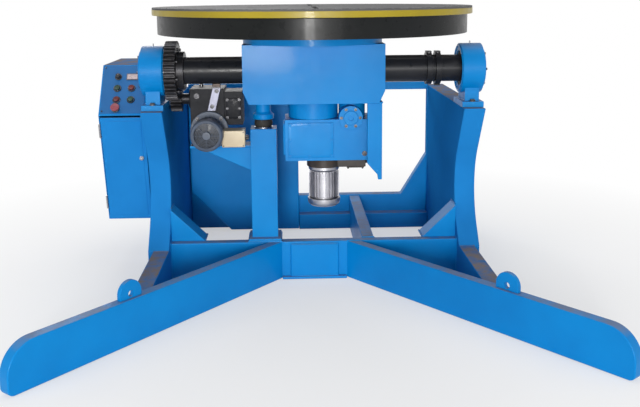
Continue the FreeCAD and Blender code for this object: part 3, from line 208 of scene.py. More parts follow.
def edge_mask(tree, coords, radius, reach):
    """Finds the corners of a piece, broken up so that the wear isn't even."""
    bevel = tree.nodes.new("ShaderNodeBevel")
    bevel.samples = 4
    bevel.inputs["Radius"].default_value = radius
    flat = tree.nodes.new("ShaderNodeNewGeometry")
    dot = tree.nodes.new("ShaderNodeVectorMath")
    dot.operation = "DOT_PRODUCT"
    link(tree, bevel.outputs["Normal"], dot.inputs[0])
    link(tree, flat.outputs["Normal"], dot.inputs[1])
    corner = spread(tree, dot.outputs["Value"], 0.995, 0.86)
    chips = spread(tree, noise(tree, coords, 55.0, 6.0, 0.7), 1.0 - reach, 1.04 - reach)
    return sums(tree, "MULTIPLY", corner, chips)


def finish(
    name,
    base,
    shade,
    cloud=3.0,
    metal=0.0,
    gloss=(0.2, 0.35),
    shine=0.5,
    coat=0.0,
    bump=0.1,
    grain=160,
    wear=None,
    reach=0.42,
    dust_and_sheen=0.0,
):
    """A procedural finish: colour drift, uneven gloss, a fine relief, worn corners, and a film on upward
    faces that is partly settled dust and partly a painted pale sheen.
    """
    label = f"{name}_finish"
    material = bpy.data.materials.get(label)
    if material:
        return material
    material = bpy.data.materials.new(label)
    material.use_nodes = True
    tree = material.node_tree
    shader = tree.nodes["Principled BSDF"]
    coords = tree.nodes.new("ShaderNodeTexCoord")
    place = coords.outputs["Object"]
    skin = blend(tree, spread(tree, noise(tree, place, cloud), 0.35, 0.65), base, shade)
    polish = spread(tree, noise(tree, place, cloud * 9.0, 5.0), 0.3, 0.7, *gloss)
    if wear:
        worn = edge_mask(tree, place, 0.004, reach)
        skin = blend(tree, worn, skin, wear)
        polish = sums(tree, "ADD", polish, sums(tree, "MULTIPLY", worn, 0.25))
    # Upward faces get a patchy grey-brown film: partly settled dust, partly a painted pale sheen that stands
    # in for the reflection that tops show.
    if dust_and_sheen:
        split = tree.nodes.new("ShaderNodeSeparateXYZ")
        link(tree, coords.outputs["Normal"], split.inputs["Vector"])
        upward = spread(tree, split.outputs["Z"], 0.75, 1.0)
        patch = spread(tree, noise(tree, place, 14.0, 6.0, 0.65), 0.25, 0.6, 0.0, dust_and_sheen)
        dust_and_sheen_film = sums(tree, "MULTIPLY", upward, patch)
        skin = blend(tree, dust_and_sheen_film, skin, (0.25, 0.205, 0.18))
        polish = sums(tree, "ADD", polish, sums(tree, "MULTIPLY", dust_and_sheen_film, 0.5))
    link(tree, skin, shader.inputs["Base Color"])
    link(tree, polish, shader.inputs["Roughness"])
    shader.inputs["Metallic"].default_value = metal
    shader.inputs["Specular IOR Level"].default_value = shine
    shader.inputs["Coat Weight"].default_value = coat
    shader.inputs["Coat Roughness"].default_value = 0.08
    stretch = tree.nodes.new("ShaderNodeMapping")
    stretch.inputs["Scale"].default_value = grain if isinstance(grain, tuple) else (grain,) * 3
    link(tree, place, stretch.inputs["Vector"])
    relief = tree.nodes.new("ShaderNodeBump")
    relief.inputs["Strength"].default_value = bump
    relief.inputs["Distance"].default_value = 0.0006
    link(tree, noise(tree, stretch.outputs["Vector"], 1.0, 3.0), relief.inputs["Height"])
    link(tree, relief.outputs["Normal"], shader.inputs["Normal"])
    return material


def machine_paint():
    return finish(
        "machine_paint", colours().machine_blue, colours().blue_shade, 2.2, gloss=(0.32, 0.42), shine=0.13,
        coat=0.05, bump=0.035, grain=110, wear=PRIMER, reach=0.36, dust_and_sheen=0.60,
    )


def dull_paint():
    """The enamel of the sheet-metal cabinet and the cheeks, which has lost its gloss."""
    return finish(
        "dull_paint", (0.017, 0.222, 0.58), (0.014, 0.180, 0.49), 2.2, gloss=(0.45, 0.60), shine=0.0,
        bump=0.035, grain=110, wear=PRIMER, reach=0.36, dust_and_sheen=1.0,
    )


def cast_paint():
    return finish(
        "cast_paint", colours().machine_blue, colours().blue_shade, 4.0, gloss=(0.32, 0.46), shine=0.16,
        coat=0.05, bump=0.30, grain=420, wear=PRIMER, reach=0.38, dust_and_sheen=0.40,
    )


def panel_paint():
    return finish(
        "panel_paint", (0.012, 0.125, 0.34), (0.010, 0.105, 0.30), 6.0, gloss=(0.32, 0.44), shine=0.3,
        coat=0.1, bump=0.25, grain=700, wear=(0.2, 0.2, 0.22), reach=0.3,
    )


def shaft_paint():
    return finish(
        "shaft_paint", colours().shaft_black, (0.015, 0.016, 0.020), 5.0, gloss=(0.26, 0.42), shine=0.24,
        coat=0.06, bump=0.12, grain=(300, 60, 60), wear=(0.16, 0.16, 0.17), reach=0.34, dust_and_sheen=0.2,
    )


def drum_paint():
    return finish(
        "drum_paint", (0.005, 0.006, 0.006), (0.009, 0.010, 0.011), 3.0, gloss=(0.24, 0.38), shine=0.13,
        coat=0.05, bump=0.10, grain=(40, 40, 260), wear=(0.14, 0.14, 0.14), reach=0.30, dust_and_sheen=0.2,
    )


def gearbox_paint():
    return finish(
        "gearbox_paint", (0.009, 0.010, 0.013), (0.018, 0.019, 0.024), 12.0, gloss=(0.34, 0.50), shine=0.10,
        coat=0.02, bump=0.45, grain=380, wear=(0.14, 0.14, 0.15), reach=0.38, dust_and_sheen=0.25,
    )


def adapter_paint():
    return finish(
        "adapter_paint", (0.020, 0.017, 0.016), (0.045, 0.032, 0.024), 22.0, gloss=(0.34, 0.52), shine=0.35,
        bump=0.35, grain=420, wear=(0.24, 0.19, 0.15), reach=0.45,
    )


def band_paint():
    return finish(
        "band_paint", colours().safety_yellow, (0.27, 0.20, 0.006), 3.0, gloss=(0.30, 0.46), shine=0.3,
        coat=0.1, bump=0.12, wear=(0.12, 0.11, 0.09), reach=0.46,
    )


# Dull, non-metal grey for the table face: partly the steel's own tone, partly a painted dark reflection of
# the room that stands in for mirror-like steel.
def turned_steel_and_reflection():
    return finish(
        "turned_steel_and_reflection", colours().table_steel, (0.085, 0.085, 0.088), 2.5, gloss=(0.62, 0.78), shine=0.12,
        bump=0.25, grain=30, wear=(0.3, 0.3, 0.3), reach=0.5,
    )


def bright_steel():
    return finish(
        "bright_steel", colours().bright_steel, (0.34, 0.34, 0.36), 9.0, metal=1.0, gloss=(0.2, 0.38),
        bump=0.12, grain=(500, 60, 60),
    )


def dark_steel():
    return finish(
        "dark_steel", colours().dark_steel, (0.05, 0.05, 0.055), 12.0, metal=0.9, gloss=(0.3, 0.5),
        bump=0.2, grain=400, wear=(0.3, 0.3, 0.31), reach=0.5,
    )


def gear_steel():
    return finish(
        "gear_steel", (0.018, 0.019, 0.024), (0.034, 0.032, 0.034), 18.0, metal=0.6, gloss=(0.30, 0.48),
        bump=0.35, grain=(90, 40, 40), wear=(0.14, 0.135, 0.14), reach=0.50,
    )


def motor_enamel():
    return finish(
        "motor_enamel", colours().motor_grey, (0.048, 0.064, 0.095), 7.0, gloss=(0.30, 0.48), shine=0.4,
        coat=0.1, bump=0.35, grain=500, wear=(0.30, 0.31, 0.33), reach=0.38, dust_and_sheen=0.3,
    )


def bright_alloy():
    return finish(
        "bright_alloy", colours().bright_alloy, (0.30, 0.30, 0.33), 6.0, metal=1.0, gloss=(0.32, 0.48),
        bump=0.18, grain=(260, 260, 30), wear=(0.7, 0.7, 0.71), reach=0.45,
    )


def bar_enamel():
    return finish(
        "bar_enamel", colours().bar_grey, (0.25, 0.25, 0.33), 14.0, metal=0.2, gloss=(0.30, 0.46), shine=0.4,
        bump=0.2, grain=(300, 300, 80), wear=(0.45, 0.44, 0.44), reach=0.45,
    )


def cream_moulding():
    return finish(
        "cream_moulding", colours().cream, (0.50, 0.40, 0.26), 9.0, gloss=(0.32, 0.46), shine=0.4, bump=0.25,
        grain=900, dust_and_sheen=0.3,
    )


def rubber():
    return finish(
        "rubber", (0.018, 0.017, 0.016), (0.035, 0.033, 0.03), 14.0, gloss=(0.6, 0.8), shine=0.3, bump=0.5,
        grain=350, dust_and_sheen=0.5,
    )


def copper():
    return finish(
        "copper", (0.050, 0.030, 0.022), (0.030, 0.020, 0.016), 30.0, metal=0.4, gloss=(0.3, 0.5), bump=0.3,
        grain=300,
    )


def moulded(name, base, shade):
    return finish(name, base, shade, 20.0, gloss=(0.22, 0.34), shine=0.45, coat=0.1, bump=0.12, grain=800)


def red_plastic():
    return moulded("red_plastic", (0.13, 0.010, 0.010), (0.09, 0.008, 0.009))


def stop_red():
    return moulded("stop_red", (0.30, 0.065, 0.085), (0.24, 0.050, 0.068))


def green_plastic():
    return moulded("green_plastic", (0.010, 0.045, 0.024), (0.008, 0.034, 0.020))


def black_plastic():
    return moulded("black_plastic", (0.012, 0.012, 0.013), (0.022, 0.022, 0.024))


def dial_face():
    return moulded("dial_face", (0.56, 0.45, 0.45), (0.48, 0.39, 0.39))


def meter_moulding():
    return moulded("meter_moulding", (0.16, 0.14, 0.14), (0.12, 0.105, 0.11))


# ---------------------------------------------------------------- modelling helpers


def clear():
    """Leaves edit mode and deselects everything."""
    if bpy.context.object and bpy.context.object.mode != "OBJECT":
        bpy.ops.object.mode_set(mode="OBJECT")
    bpy.ops.object.select_all(action="DESELECT")


def choose(*pieces):
    clear()
    for piece in pieces:
        piece.select_set(True)
    bpy.context.view_layer.objects.active = pieces[0]


def settle(piece):
    """Puts the piece's place, turn and scale into its mesh."""
    choose(piece)
    bpy.ops.object.transform_apply(location=True, rotation=True, scale=True)
    return piece


def edit(piece, mode="FACE"):
    choose(piece)
    bpy.ops.object.mode_set(mode="EDIT")
    bpy.ops.mesh.select_mode(type=mode)
    bpy.ops.mesh.select_all(action="SELECT")


def pick(piece, test, mode="FACE"):
    """Opens the piece in edit mode with only the faces or edges that pass the test selected."""
    clear()
    mesh = piece.data
    for group in (mesh.vertices, mesh.edges, mesh.polygons):
        group.foreach_set("select", [False] * len(group))
    modes = (mode == "VERT", mode == "EDGE", mode == "FACE")
    bpy.context.tool_settings.mesh_select_mode = modes
    if mode == "FACE":
        for face in mesh.polygons:
            face.select = bool(test(face.center, face.normal))
    elif mode == "EDGE":
        for edge in mesh.edges:
            start, end = (mesh.vertices[index].co for index in edge.vertices)
            edge.select = bool(test((start + end) / 2, (end - start).normalized()))
    else:
        for point in mesh.vertices:
            point.select = bool(test(point.co, point.normal))
    choose(piece)
    bpy.ops.object.mode_set(mode="EDIT")


def leave():
    bpy.ops.object.mode_set(mode="OBJECT")


def block(centre, size):
    """A box of the given size, to be shaped further."""
    clear()
    bpy.ops.mesh.primitive_cube_add(size=1, location=centre)
    piece = bpy.context.object
    piece.scale = size
    return settle(piece)


def between(low, high):
    low, high = Vector(low), Vector(high)
    return block((low + high) / 2, high - low)


def turned(profile, centre=(0, 0, 0), axis="Z", steps=48):
    """Spins a profile of (radius, height) points into a closed turned piece."""
    clear()
    bpy.ops.mesh.primitive_plane_add(size=0.01)
    piece = bpy.context.object
    edit(piece, "VERT")
    bpy.ops.mesh.merge(type="CENTER")
    radius, height = profile[0]
    bpy.ops.transform.translate(value=(radius, 0, height))
    for next_radius, next_height in profile[1:]:
        move = (next_radius - radius, 0, next_height - height)
        bpy.ops.mesh.extrude_vertices_move(TRANSFORM_OT_translate={"value": move})
        radius, height = next_radius, next_height
    bpy.ops.mesh.select_all(action="SELECT")
    bpy.ops.mesh.spin(steps=steps, angle=math.tau, center=(0, 0, 0), axis=(0, 0, 1))
    bpy.ops.mesh.select_all(action="SELECT")
    bpy.ops.mesh.remove_doubles(threshold=0.00001)
    bpy.ops.mesh.normals_make_consistent(inside=False)
    leave()
    piece.matrix_world = Matrix.Translation(centre) @ AXES[axis]
    return settle(piece)


def apply_modifiers(piece):
    choose(piece)
    for modifier in list(piece.modifiers):
        bpy.ops.object.modifier_apply(modifier=modifier.name)
    return piece


def soften(piece, width, segments=2, angle=30):
    """Rounds the sharp edges."""
    modifier = piece.modifiers.new("round", "BEVEL")
    modifier.width = width
    modifier.segments = segments
    modifier.limit_method = "ANGLE"
    modifier.angle_limit = math.radians(angle)
    modifier.harden_normals = False
    return apply_modifiers(piece)


def facing(axis):
    """A test for the faces that look along an axis, with that direction."""
    way = AXES[axis].to_3x3() @ Vector((0, 0, 1))
    return way, lambda centre, normal: normal.dot(way) > 0.9


def raised(piece, axis, border, lift, width, segments=2):
    """Insets one side of a block, lifts the middle of it and rounds the edges."""
    way, test = facing(axis)
    pick(piece, test)
    bpy.ops.mesh.inset(thickness=border, depth=0)
    bpy.ops.transform.translate(value=way * lift)
    leave()
    return soften(piece, width, segments)


def tapered(piece, axis, scale, width, shift=(0, 0, 0)):
    """Narrows one side of a block, shifts it and rounds the edges."""
    pick(piece, facing(axis)[1])
    bpy.ops.transform.resize(value=scale)
    bpy.ops.transform.translate(value=shift)
    leave()
    return soften(piece, width)


def join(*pieces):
    if len(pieces) > 1:
        choose(*pieces)
        bpy.ops.object.join()
    return pieces[0]


def scatter(piece, places):
    """Copies a piece to every place, each copy with its own mesh, and joins them."""
    copies = []
    for place in places:
        other = piece.copy()
        other.data = piece.data.copy()
        bpy.context.collection.objects.link(other)
        other.matrix_world = place
        copies.append(settle(other))
    bpy.data.objects.remove(piece)
    return join(*copies)


def turns(count):
    """Equal turns round Z that make up a full circle."""
    return [Matrix.Rotation(math.tau * index / count, 4, "Z") for index in range(count)]


def around(count, radius, centre, axis="Z", first=0.0):
    """Places for a ring of like pieces that stand out along the axis."""
    base = Matrix.Translation(centre) @ AXES[axis]
    places = []
    for index in range(count):
        turn = Matrix.Rotation(first + math.tau * index / count, 4, "Z")
        places.append(base @ turn @ Matrix.Translation((radius, 0, 0)))
    return places


def done(piece, name, body, material, angle=32):
    """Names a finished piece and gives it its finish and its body."""
    choose(piece)
    bpy.ops.object.shade_smooth_by_angle(angle=math.radians(angle))
    weigh = piece.modifiers.new("weigh", "WEIGHTED_NORMAL")
    weigh.mode = "FACE_AREA"
    weigh.weight = 50
    weigh.keep_sharp = True
    apply_modifiers(piece)
    piece.name = name
    piece.data.name = name
    piece.data.materials.clear()
    piece.data.materials.append(material)
    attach(piece, body)
    return piece


def body_of(node):
    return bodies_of(frame["nodes"][node])[0]


def copy_of(node, width, segments=2):
    """A copy of a CAD node with its facets merged and its edges rounded."""
    source = frame["nodes"][node]
    clear()
    piece = source.copy()
    piece.data = source.data.copy()
    bpy.context.collection.objects.link(piece)
    for mark in list(piece.keys()):
        del piece[mark]
    piece.parent = None
    piece.matrix_world = Matrix.Identity(4)
    edit(piece)
    bpy.ops.mesh.remove_doubles(threshold=0.00002)
    bpy.ops.mesh.dissolve_limited(angle_limit=math.radians(1.0))
    leave()
    if width:
        soften(piece, width, segments)
    return piece


def rounded(node, width, material, segments=2):
    """Stands a rounded copy in for a CAD node."""
    piece = done(copy_of(node, width, segments), f"{node}_shell", body_of(node), material)
    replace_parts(piece, node)
    return piece


def recolour(material, *nodes):
    """Gives CAD nodes that keep their own shape a better finish."""
    for node in nodes:
        holder = frame["nodes"][node]
        if not holder.material_slots:
            raise RuntimeError(f"{node} has no material slot")
        for slot in holder.material_slots:
            slot.material = material


def bead(start, end):
    """A rippled weld bead from one point to another."""
    size = sizes()
    start, end = Vector(start), Vector(end)
    run = end - start
    count = max(2, round(run.length / size.weld_pitch))
    pitch = run.length / count
    radius = size.weld_width / 2
    clear()
    bpy.ops.mesh.primitive_cylinder_add(
        vertices=8, radius=radius * 0.82, depth=pitch, location=(0, 0, pitch / 2), end_fill_type="NOTHING"
    )
    piece = settle(bpy.context.object)
    edit(piece)
    bpy.ops.mesh.bisect(plane_co=(0, 0, pitch * 0.6), plane_no=(0, 0, 1))
    leave()
    pick(piece, lambda at, normal: 0.1 * pitch < at.z < 0.9 * pitch, "VERT")
    bpy.ops.transform.resize(value=(1.22, 1.22, 1))
    leave()
    array = piece.modifiers.new("ripples", "ARRAY")
    array.count = count
    array.use_relative_offset = False
    array.use_constant_offset = True
    array.constant_offset_displace = (0, 0, pitch)
    array.use_merge_vertices = True
    array.merge_threshold = 0.0002
    apply_modifiers(piece)
    edit(piece, "EDGE")
    bpy.ops.mesh.select_all(action="DESELECT")
    bpy.ops.mesh.select_non_manifold()
    bpy.ops.mesh.edge_face_add()
    bpy.ops.mesh.select_all(action="SELECT")
    bpy.ops.mesh.normals_make_consistent(inside=False)
    leave()
    turn = run.to_track_quat("Z", "Y").to_matrix().to_4x4()
    piece.matrix_world = Matrix.Translation(start) @ turn
    return settle(piece)


def beads(name, body, runs):
    """Welds that follow several runs, joined into one piece."""
    piece = join(*[bead(start, end) for start, end in runs])
    return done(piece, name, body, machine_paint(), 60)


def hex_bolt(radius, washer=True):
    """A hexagon head with a chamfered top on its washer, standing on the XY plane."""
    height = radius * 0.62
    clear()
    bpy.ops.mesh.primitive_cylinder_add(vertices=6, radius=radius, depth=height)
    head = bpy.context.object
    head.location = (0, 0, height / 2 + (radius * 0.16 if washer else 0))
    settle(head)
    pick(head, lambda at, normal: normal.z > 0.9)
    bpy.ops.mesh.inset(thickness=radius * 0.16, depth=0)
    bpy.ops.transform.translate(value=(0, 0, radius * 0.05))
    leave()
    if not washer:
        return head
    rim, foot, top = radius * 1.3, -0.0005, radius * 0.18
    ring = turned([(0, foot), (rim, foot), (rim, radius * 0.12), (radius * 1.22, top), (0, top)], steps=24)
    return join(head, ring)


def hex_head(radius):
    return hex_bolt(radius, washer=False)


def cap_screw(radius):
    """A socket head screw with its hexagon recess, standing on the XY plane."""
    height = radius * 1.3
    head = turned([
        (0, 0), (radius * 0.95, 0), (radius, radius * 0.06), (radius, height - radius * 0.16),
        (radius * 0.86, height), (0, height),
    ], steps=24)
    pick(head, lambda at, normal: normal.z > 0.99 and at.z > height * 0.99)
    bpy.ops.mesh.dissolve_faces()
    bpy.ops.mesh.inset(thickness=radius * 0.36, depth=0)
    bpy.ops.mesh.extrude_region_move(TRANSFORM_OT_translate={"value": (0, 0, -radius * 0.7)})
    leave()
    return head


def corners(node):
    """The lowest and highest corners of a CAD node, as vectors."""
    low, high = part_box(node)
    return Vector(low), Vector(high)


def middle(node):
    low, high = corners(node)
    return (low + high) / 2


TILT_AXIS = Vector(next(j for j in frame["joints"] if j["name"] == "table_tilt")["pos_m"])
BODY_HALF = 0.170  # metres from the tilt axis to the front and the back of the tilting body
DIAGONAL = 0.785  # radians to the first of four screws that stand in the corners
HALF_STEP = 0.5236  # radians to the first of six screws, half of the step between two


# ---------------------------------------------------------------- repeated fittings


def stand(piece, place):
    """Moves a piece that was modelled at the origin to its place."""
    piece.matrix_world = place
    return settle(piece)


def at(centre, axis="Z", spin=0.0):
    """A place at a point, with the piece's Z along an axis."""
    return Matrix.Translation(centre) @ AXES[axis] @ Matrix.Rotation(spin, 4, "Z")


def on_shaft(x, axis="X"):
    """A place on the tilt axis."""
    return at((x, TILT_AXIS.y, TILT_AXIS.z), axis)


def grid(columns, y, rows, axis, hollow=False):
    """Places in columns and rows on a face across Y, with or without the middle one."""
    places = [at((x, y, z), axis) for x in columns for z in rows]
    if hollow:
        del places[len(places) // 2]
    return places


def sloped(node, turn):
    """A place at the middle of a CAD node, turned with the panel or door that carries it."""
    return Matrix.Translation(middle(node)) @ turn


def spun(name, body, material, profile, place, steps=48, node=None, angle=32):
    """A turned piece in its place, which may stand in for a CAD node."""
    piece = done(stand(turned(profile, steps=steps), place), name, body, material, angle)
    if node:
        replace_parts(piece, node)
    return piece


def bolts(name, body, places, radius, make=None, material=None):
    """One kind of screw copied to its places."""
    piece = scatter((make or hex_bolt)(radius), places)
    return done(piece, name, body, material or dark_steel())


def hoop(radius, thickness, height=0.0, steps=96, rolls=6):
    """A closed ring round Z with a round section."""
    profile = []
    for index in range(rolls + 1):
        turn = math.tau * index / rolls
        profile.append((radius + thickness * math.cos(turn), height + thickness * math.sin(turn)))
    profile[-1] = profile[0]
    return turned(profile, steps=steps)


def fins(count, inner, outer, low, high, thickness):
    """Cooling fins that stand out from a round frame along Z."""
    fin = block(((inner + outer) / 2, 0, (low + high) / 2), (outer - inner, thickness, high - low))
    pick(fin, lambda centre, normal: normal.x > 0.9)
    bpy.ops.transform.resize(value=(1, 0.55, 0.94))
    leave()
    return scatter(fin, turns(count))


def grille(radius, depth, rings, spokes):
    """A round guard of wire rings on flat spokes, in the XY plane."""
    parts = []
    for index in range(rings):
        reach = radius * (0.30 + 0.68 * index / (rings - 1))
        parts.append(hoop(reach, depth, steps=40, rolls=5))
    spoke = block((radius * 0.64, 0, 0), (radius * 0.70, depth * 1.7, depth * 1.2))
    soften(spoke, depth * 0.3, 1)
    parts.append(scatter(spoke, turns(spokes)))
    hub = radius * 0.31
    parts.append(turned([(0, -depth), (hub, -depth), (hub, depth * 0.6), (0, depth)], steps=24))
    return join(*parts)


def plug(radius):
    """A hexagon oil plug on its sealing ring."""
    base = turned([(0, 0), (radius * 1.35, 0), (radius * 1.35, radius * 0.25), (0, radius * 0.25)], steps=20)
    head = hex_head(radius)
    head.location.z = radius * 0.25
    return join(base, settle(head))


def nipple(radius):
    """A grease nipple."""
    profile = [
        (0, 0), (1.6, 0), (1.6, 0.9), (0.9, 1.2), (0.9, 2.2), (1.25, 2.7), (1.1, 3.6), (0.5, 4.1), (0, 4.1),
    ]
    return turned([(radius * r, radius * h) for r, h in profile], steps=16)


def gland(radius):
    """A cable gland: hexagon body, domed nut and blanking plug."""
    body = hex_head(radius * 1.15)
    nut = turned([
        (0, 0), (radius, 0), (radius, radius * 0.9), (radius * 0.8, radius * 1.3),
        (radius * 0.5, radius * 1.4), (0, radius * 1.3),
    ], steps=20)
    nut.location.z = radius * 0.6
    return join(body, settle(nut))


# ---------------------------------------------------------------- operators


class POSITIONER_OT_stage(bpy.types.Operator):
    """Lay the pale floor, set the lamps and place the camera"""

    bl_idname = "positioner.stage"
    bl_label = "Stage"

    def execute(self, context):
        scene = context.scene
        clear()
        bpy.ops.mesh.primitive_plane_add(size=120, location=(0, 0, -0.002))
        floor = context.object
        floor.name = "studio_floor"
        floor.data.materials.append(self.floor_finish())
        settle(floor)
        self.light_sky(scene)
        for name, place, aim, size, power, tint in (
            ("key_lamp", (-0.55, -9.0, 1.25), (0, 0, 0.6), (0.95, 2.2), 420, (1.0, 0.99, 0.97)),
            ("front_lamp", (0.3, -9.2, 1.5), (0, 0, 0.6), (5.6, 2.4), 130, (1.0, 0.99, 0.98)),
            ("fill_lamp", (4.2, -4.6, 3.0), (0, 0, 0.6), (2.6, 2.6), 45, (0.96, 0.98, 1.0)),
            ("left_lamp", (-4.6, -3.6, 3.0), (0, 0, 0.6), (2.6, 2.6), 50, (0.96, 0.98, 1.0)),
            ("top_lamp", (0.0, 0.6, 5.2), (0, 0.2, 0.6), (4.0, 4.0), 70, (1.0, 1.0, 1.0)),
            ("back_lamp", (-1.5, 5.6, 3.4), (0, 0, 0.6), (3.0, 2.0), 100, (1.0, 1.0, 1.0)),
        ):
            bpy.ops.object.light_add(type="AREA", location=place)
            lamp = context.object
            lamp.name = name
            lamp.data.shape = "RECTANGLE"
            lamp.data.size, lamp.data.size_y = size
            lamp.data.energy = power
            lamp.data.color = tint
            run = Vector(aim) - Vector(place)
            lamp.rotation_euler = run.to_track_quat("-Z", "Y").to_euler()
        self.place_camera(context)
        scene.view_settings.view_transform = "Standard"
        return {"FINISHED"}

    def floor_finish(self):
        """Matt pale floor that keeps the shadow and fades into the white backdrop far away."""
        material = bpy.data.materials.new("studio_floor")
        material.use_nodes = True
        tree = material.node_tree
        shader = tree.nodes["Principled BSDF"]
        coords = tree.nodes.new("ShaderNodeTexCoord")
        cloud = noise(tree, coords.outputs["Object"], 0.6)
        tone = blend(tree, spread(tree, cloud, 0.3, 0.7), (0.93, 0.93, 0.93), (0.91, 0.91, 0.91))
        link(tree, tone, shader.inputs["Base Color"])
        link(tree, spread(tree, cloud, 0.3, 0.7, 0.75, 0.85), shader.inputs["Roughness"])
        shader.inputs["Specular IOR Level"].default_value = 0.1
        far = tree.nodes.new("ShaderNodeVectorMath")
        far.operation = "LENGTH"
        link(tree, coords.outputs["Object"], far.inputs[0])
        seen = seen_rays(tree)
        white = tree.nodes.new("ShaderNodeEmission")
        white.inputs["Strength"].default_value = 1.0
        mix = tree.nodes.new("ShaderNodeMixShader")
        fade = sums(tree, "MULTIPLY", seen, spread(tree, far.outputs["Value"], 1.2, 2.8, 0.5, 1.0))
        link(tree, fade, mix.inputs["Fac"])
        link(tree, shader.outputs["BSDF"], mix.inputs[1])
        link(tree, white.outputs["Emission"], mix.inputs[2])
        link(tree, mix.outputs["Shader"], tree.nodes["Material Output"].inputs["Surface"])
        return material

    def light_sky(self, scene):
        scene.world = bpy.data.worlds.new("studio_sky")
        scene.world.use_nodes = True
        tree = scene.world.node_tree
        soft = tree.nodes["Background"]
        soft.inputs["Color"].default_value = (0.95, 0.97, 1.0, 1.0)
        soft.inputs["Strength"].default_value = 0.34
        white = tree.nodes.new("ShaderNodeBackground")
        white.inputs["Color"].default_value = (1, 1, 1, 1)
        white.inputs["Strength"].default_value = 1.0
        seen = seen_rays(tree)
        mix = tree.nodes.new("ShaderNodeMixShader")
        link(tree, seen, mix.inputs["Fac"])
        link(tree, soft.outputs["Background"], mix.inputs[1])
        link(tree, white.outputs["Background"], mix.inputs[2])
        link(tree, mix.outputs["Shader"], tree.nodes["World Output"].inputs["Surface"])

    def place_camera(self, context):
        data = bpy.data.cameras.new("camera")
        data.lens = 46.50
        data.sensor_width = 36.0
        data.shift_y = -0.1
        data.clip_end = 200
        camera = bpy.data.objects.new("camera", data)
        context.collection.objects.link(camera)
        turn = Matrix.Rotation(math.radians(-2.19), 4, "Z")
        turn = turn @ Matrix.Rotation(math.radians(90 - 10.02), 4, "X")
        turn = turn @ Matrix.Rotation(math.radians(-0.43), 4, "Z")
        camera.matrix_world = Matrix.Translation((-0.11211, -3.57736, 1.30071)) @ turn
        context.scene.camera = camera


class POSITIONER_OT_weldments(bpy.types.Operator):
    """Round and paint the fabricated frame: legs, beams, cheeks, housing and lugs"""

    bl_idname = "positioner.weldments"
    bl_label = "Frame weldments"

    def execute(self, context):
        size = sizes()
        paint = machine_paint()
        for node in (
            "front_beam", "leg_left", "leg_right", "rib_left", "rib_right", "rear_frame", "rear_housing",
            "stop_post",
        ):
            rounded(node, size.box_round, paint, 3)
        for node in ("cheek_left", "cheek_right"):
            rounded(node, size.box_round, dull_paint(), 3)
        for node in ("apex_plate", "lifting_lugs", "corner_gussets", "gearbox_shelf"):
            rounded(node, size.edge_round, paint)
        self.rear_cover()
        return {"FINISHED"}

    def rear_cover(self):
        """A screwed sheet over the recess in the back of the rear frame."""
        low, high = corners("rear_frame")
        y = high.y - 0.030
        x0, x1, z0, z1 = low.x + 0.050, -0.110, 0.230, high.z - 0.092
        cover = between((x0, y, z0), (x1, y + 0.003, z1))
        raised(cover, "Y", 0.045, 0.006, 0.0012)
        done(cover, "rear_cover", "frame", machine_paint())
        columns = (x0 + 0.016, (x0 + x1) / 2, x1 - 0.016)
        rows = (z0 + 0.016, (z0 + z1) / 2, z1 - 0.016)
        places = grid(columns, y + 0.003, rows, "Y", hollow=True)
        bolts("rear_cover_screws", "frame", places, 0.0045, cap_screw)
        slot = block(((x0 + x1) / 2 - 0.11, y + 0.0095, z1 - 0.14), (0.16, 0.008, 0.012))
        tapered(slot, "Y", (0.92, 1, 0.25), 0.0015, (0, 0, -0.004))
        places = [
            Matrix.Translation((0.22 * column, 0, -0.026 * row)) for column in range(2) for row in range(7)
        ]
        done(scatter(slot, places), "rear_cover_louvres", "frame", machine_paint())


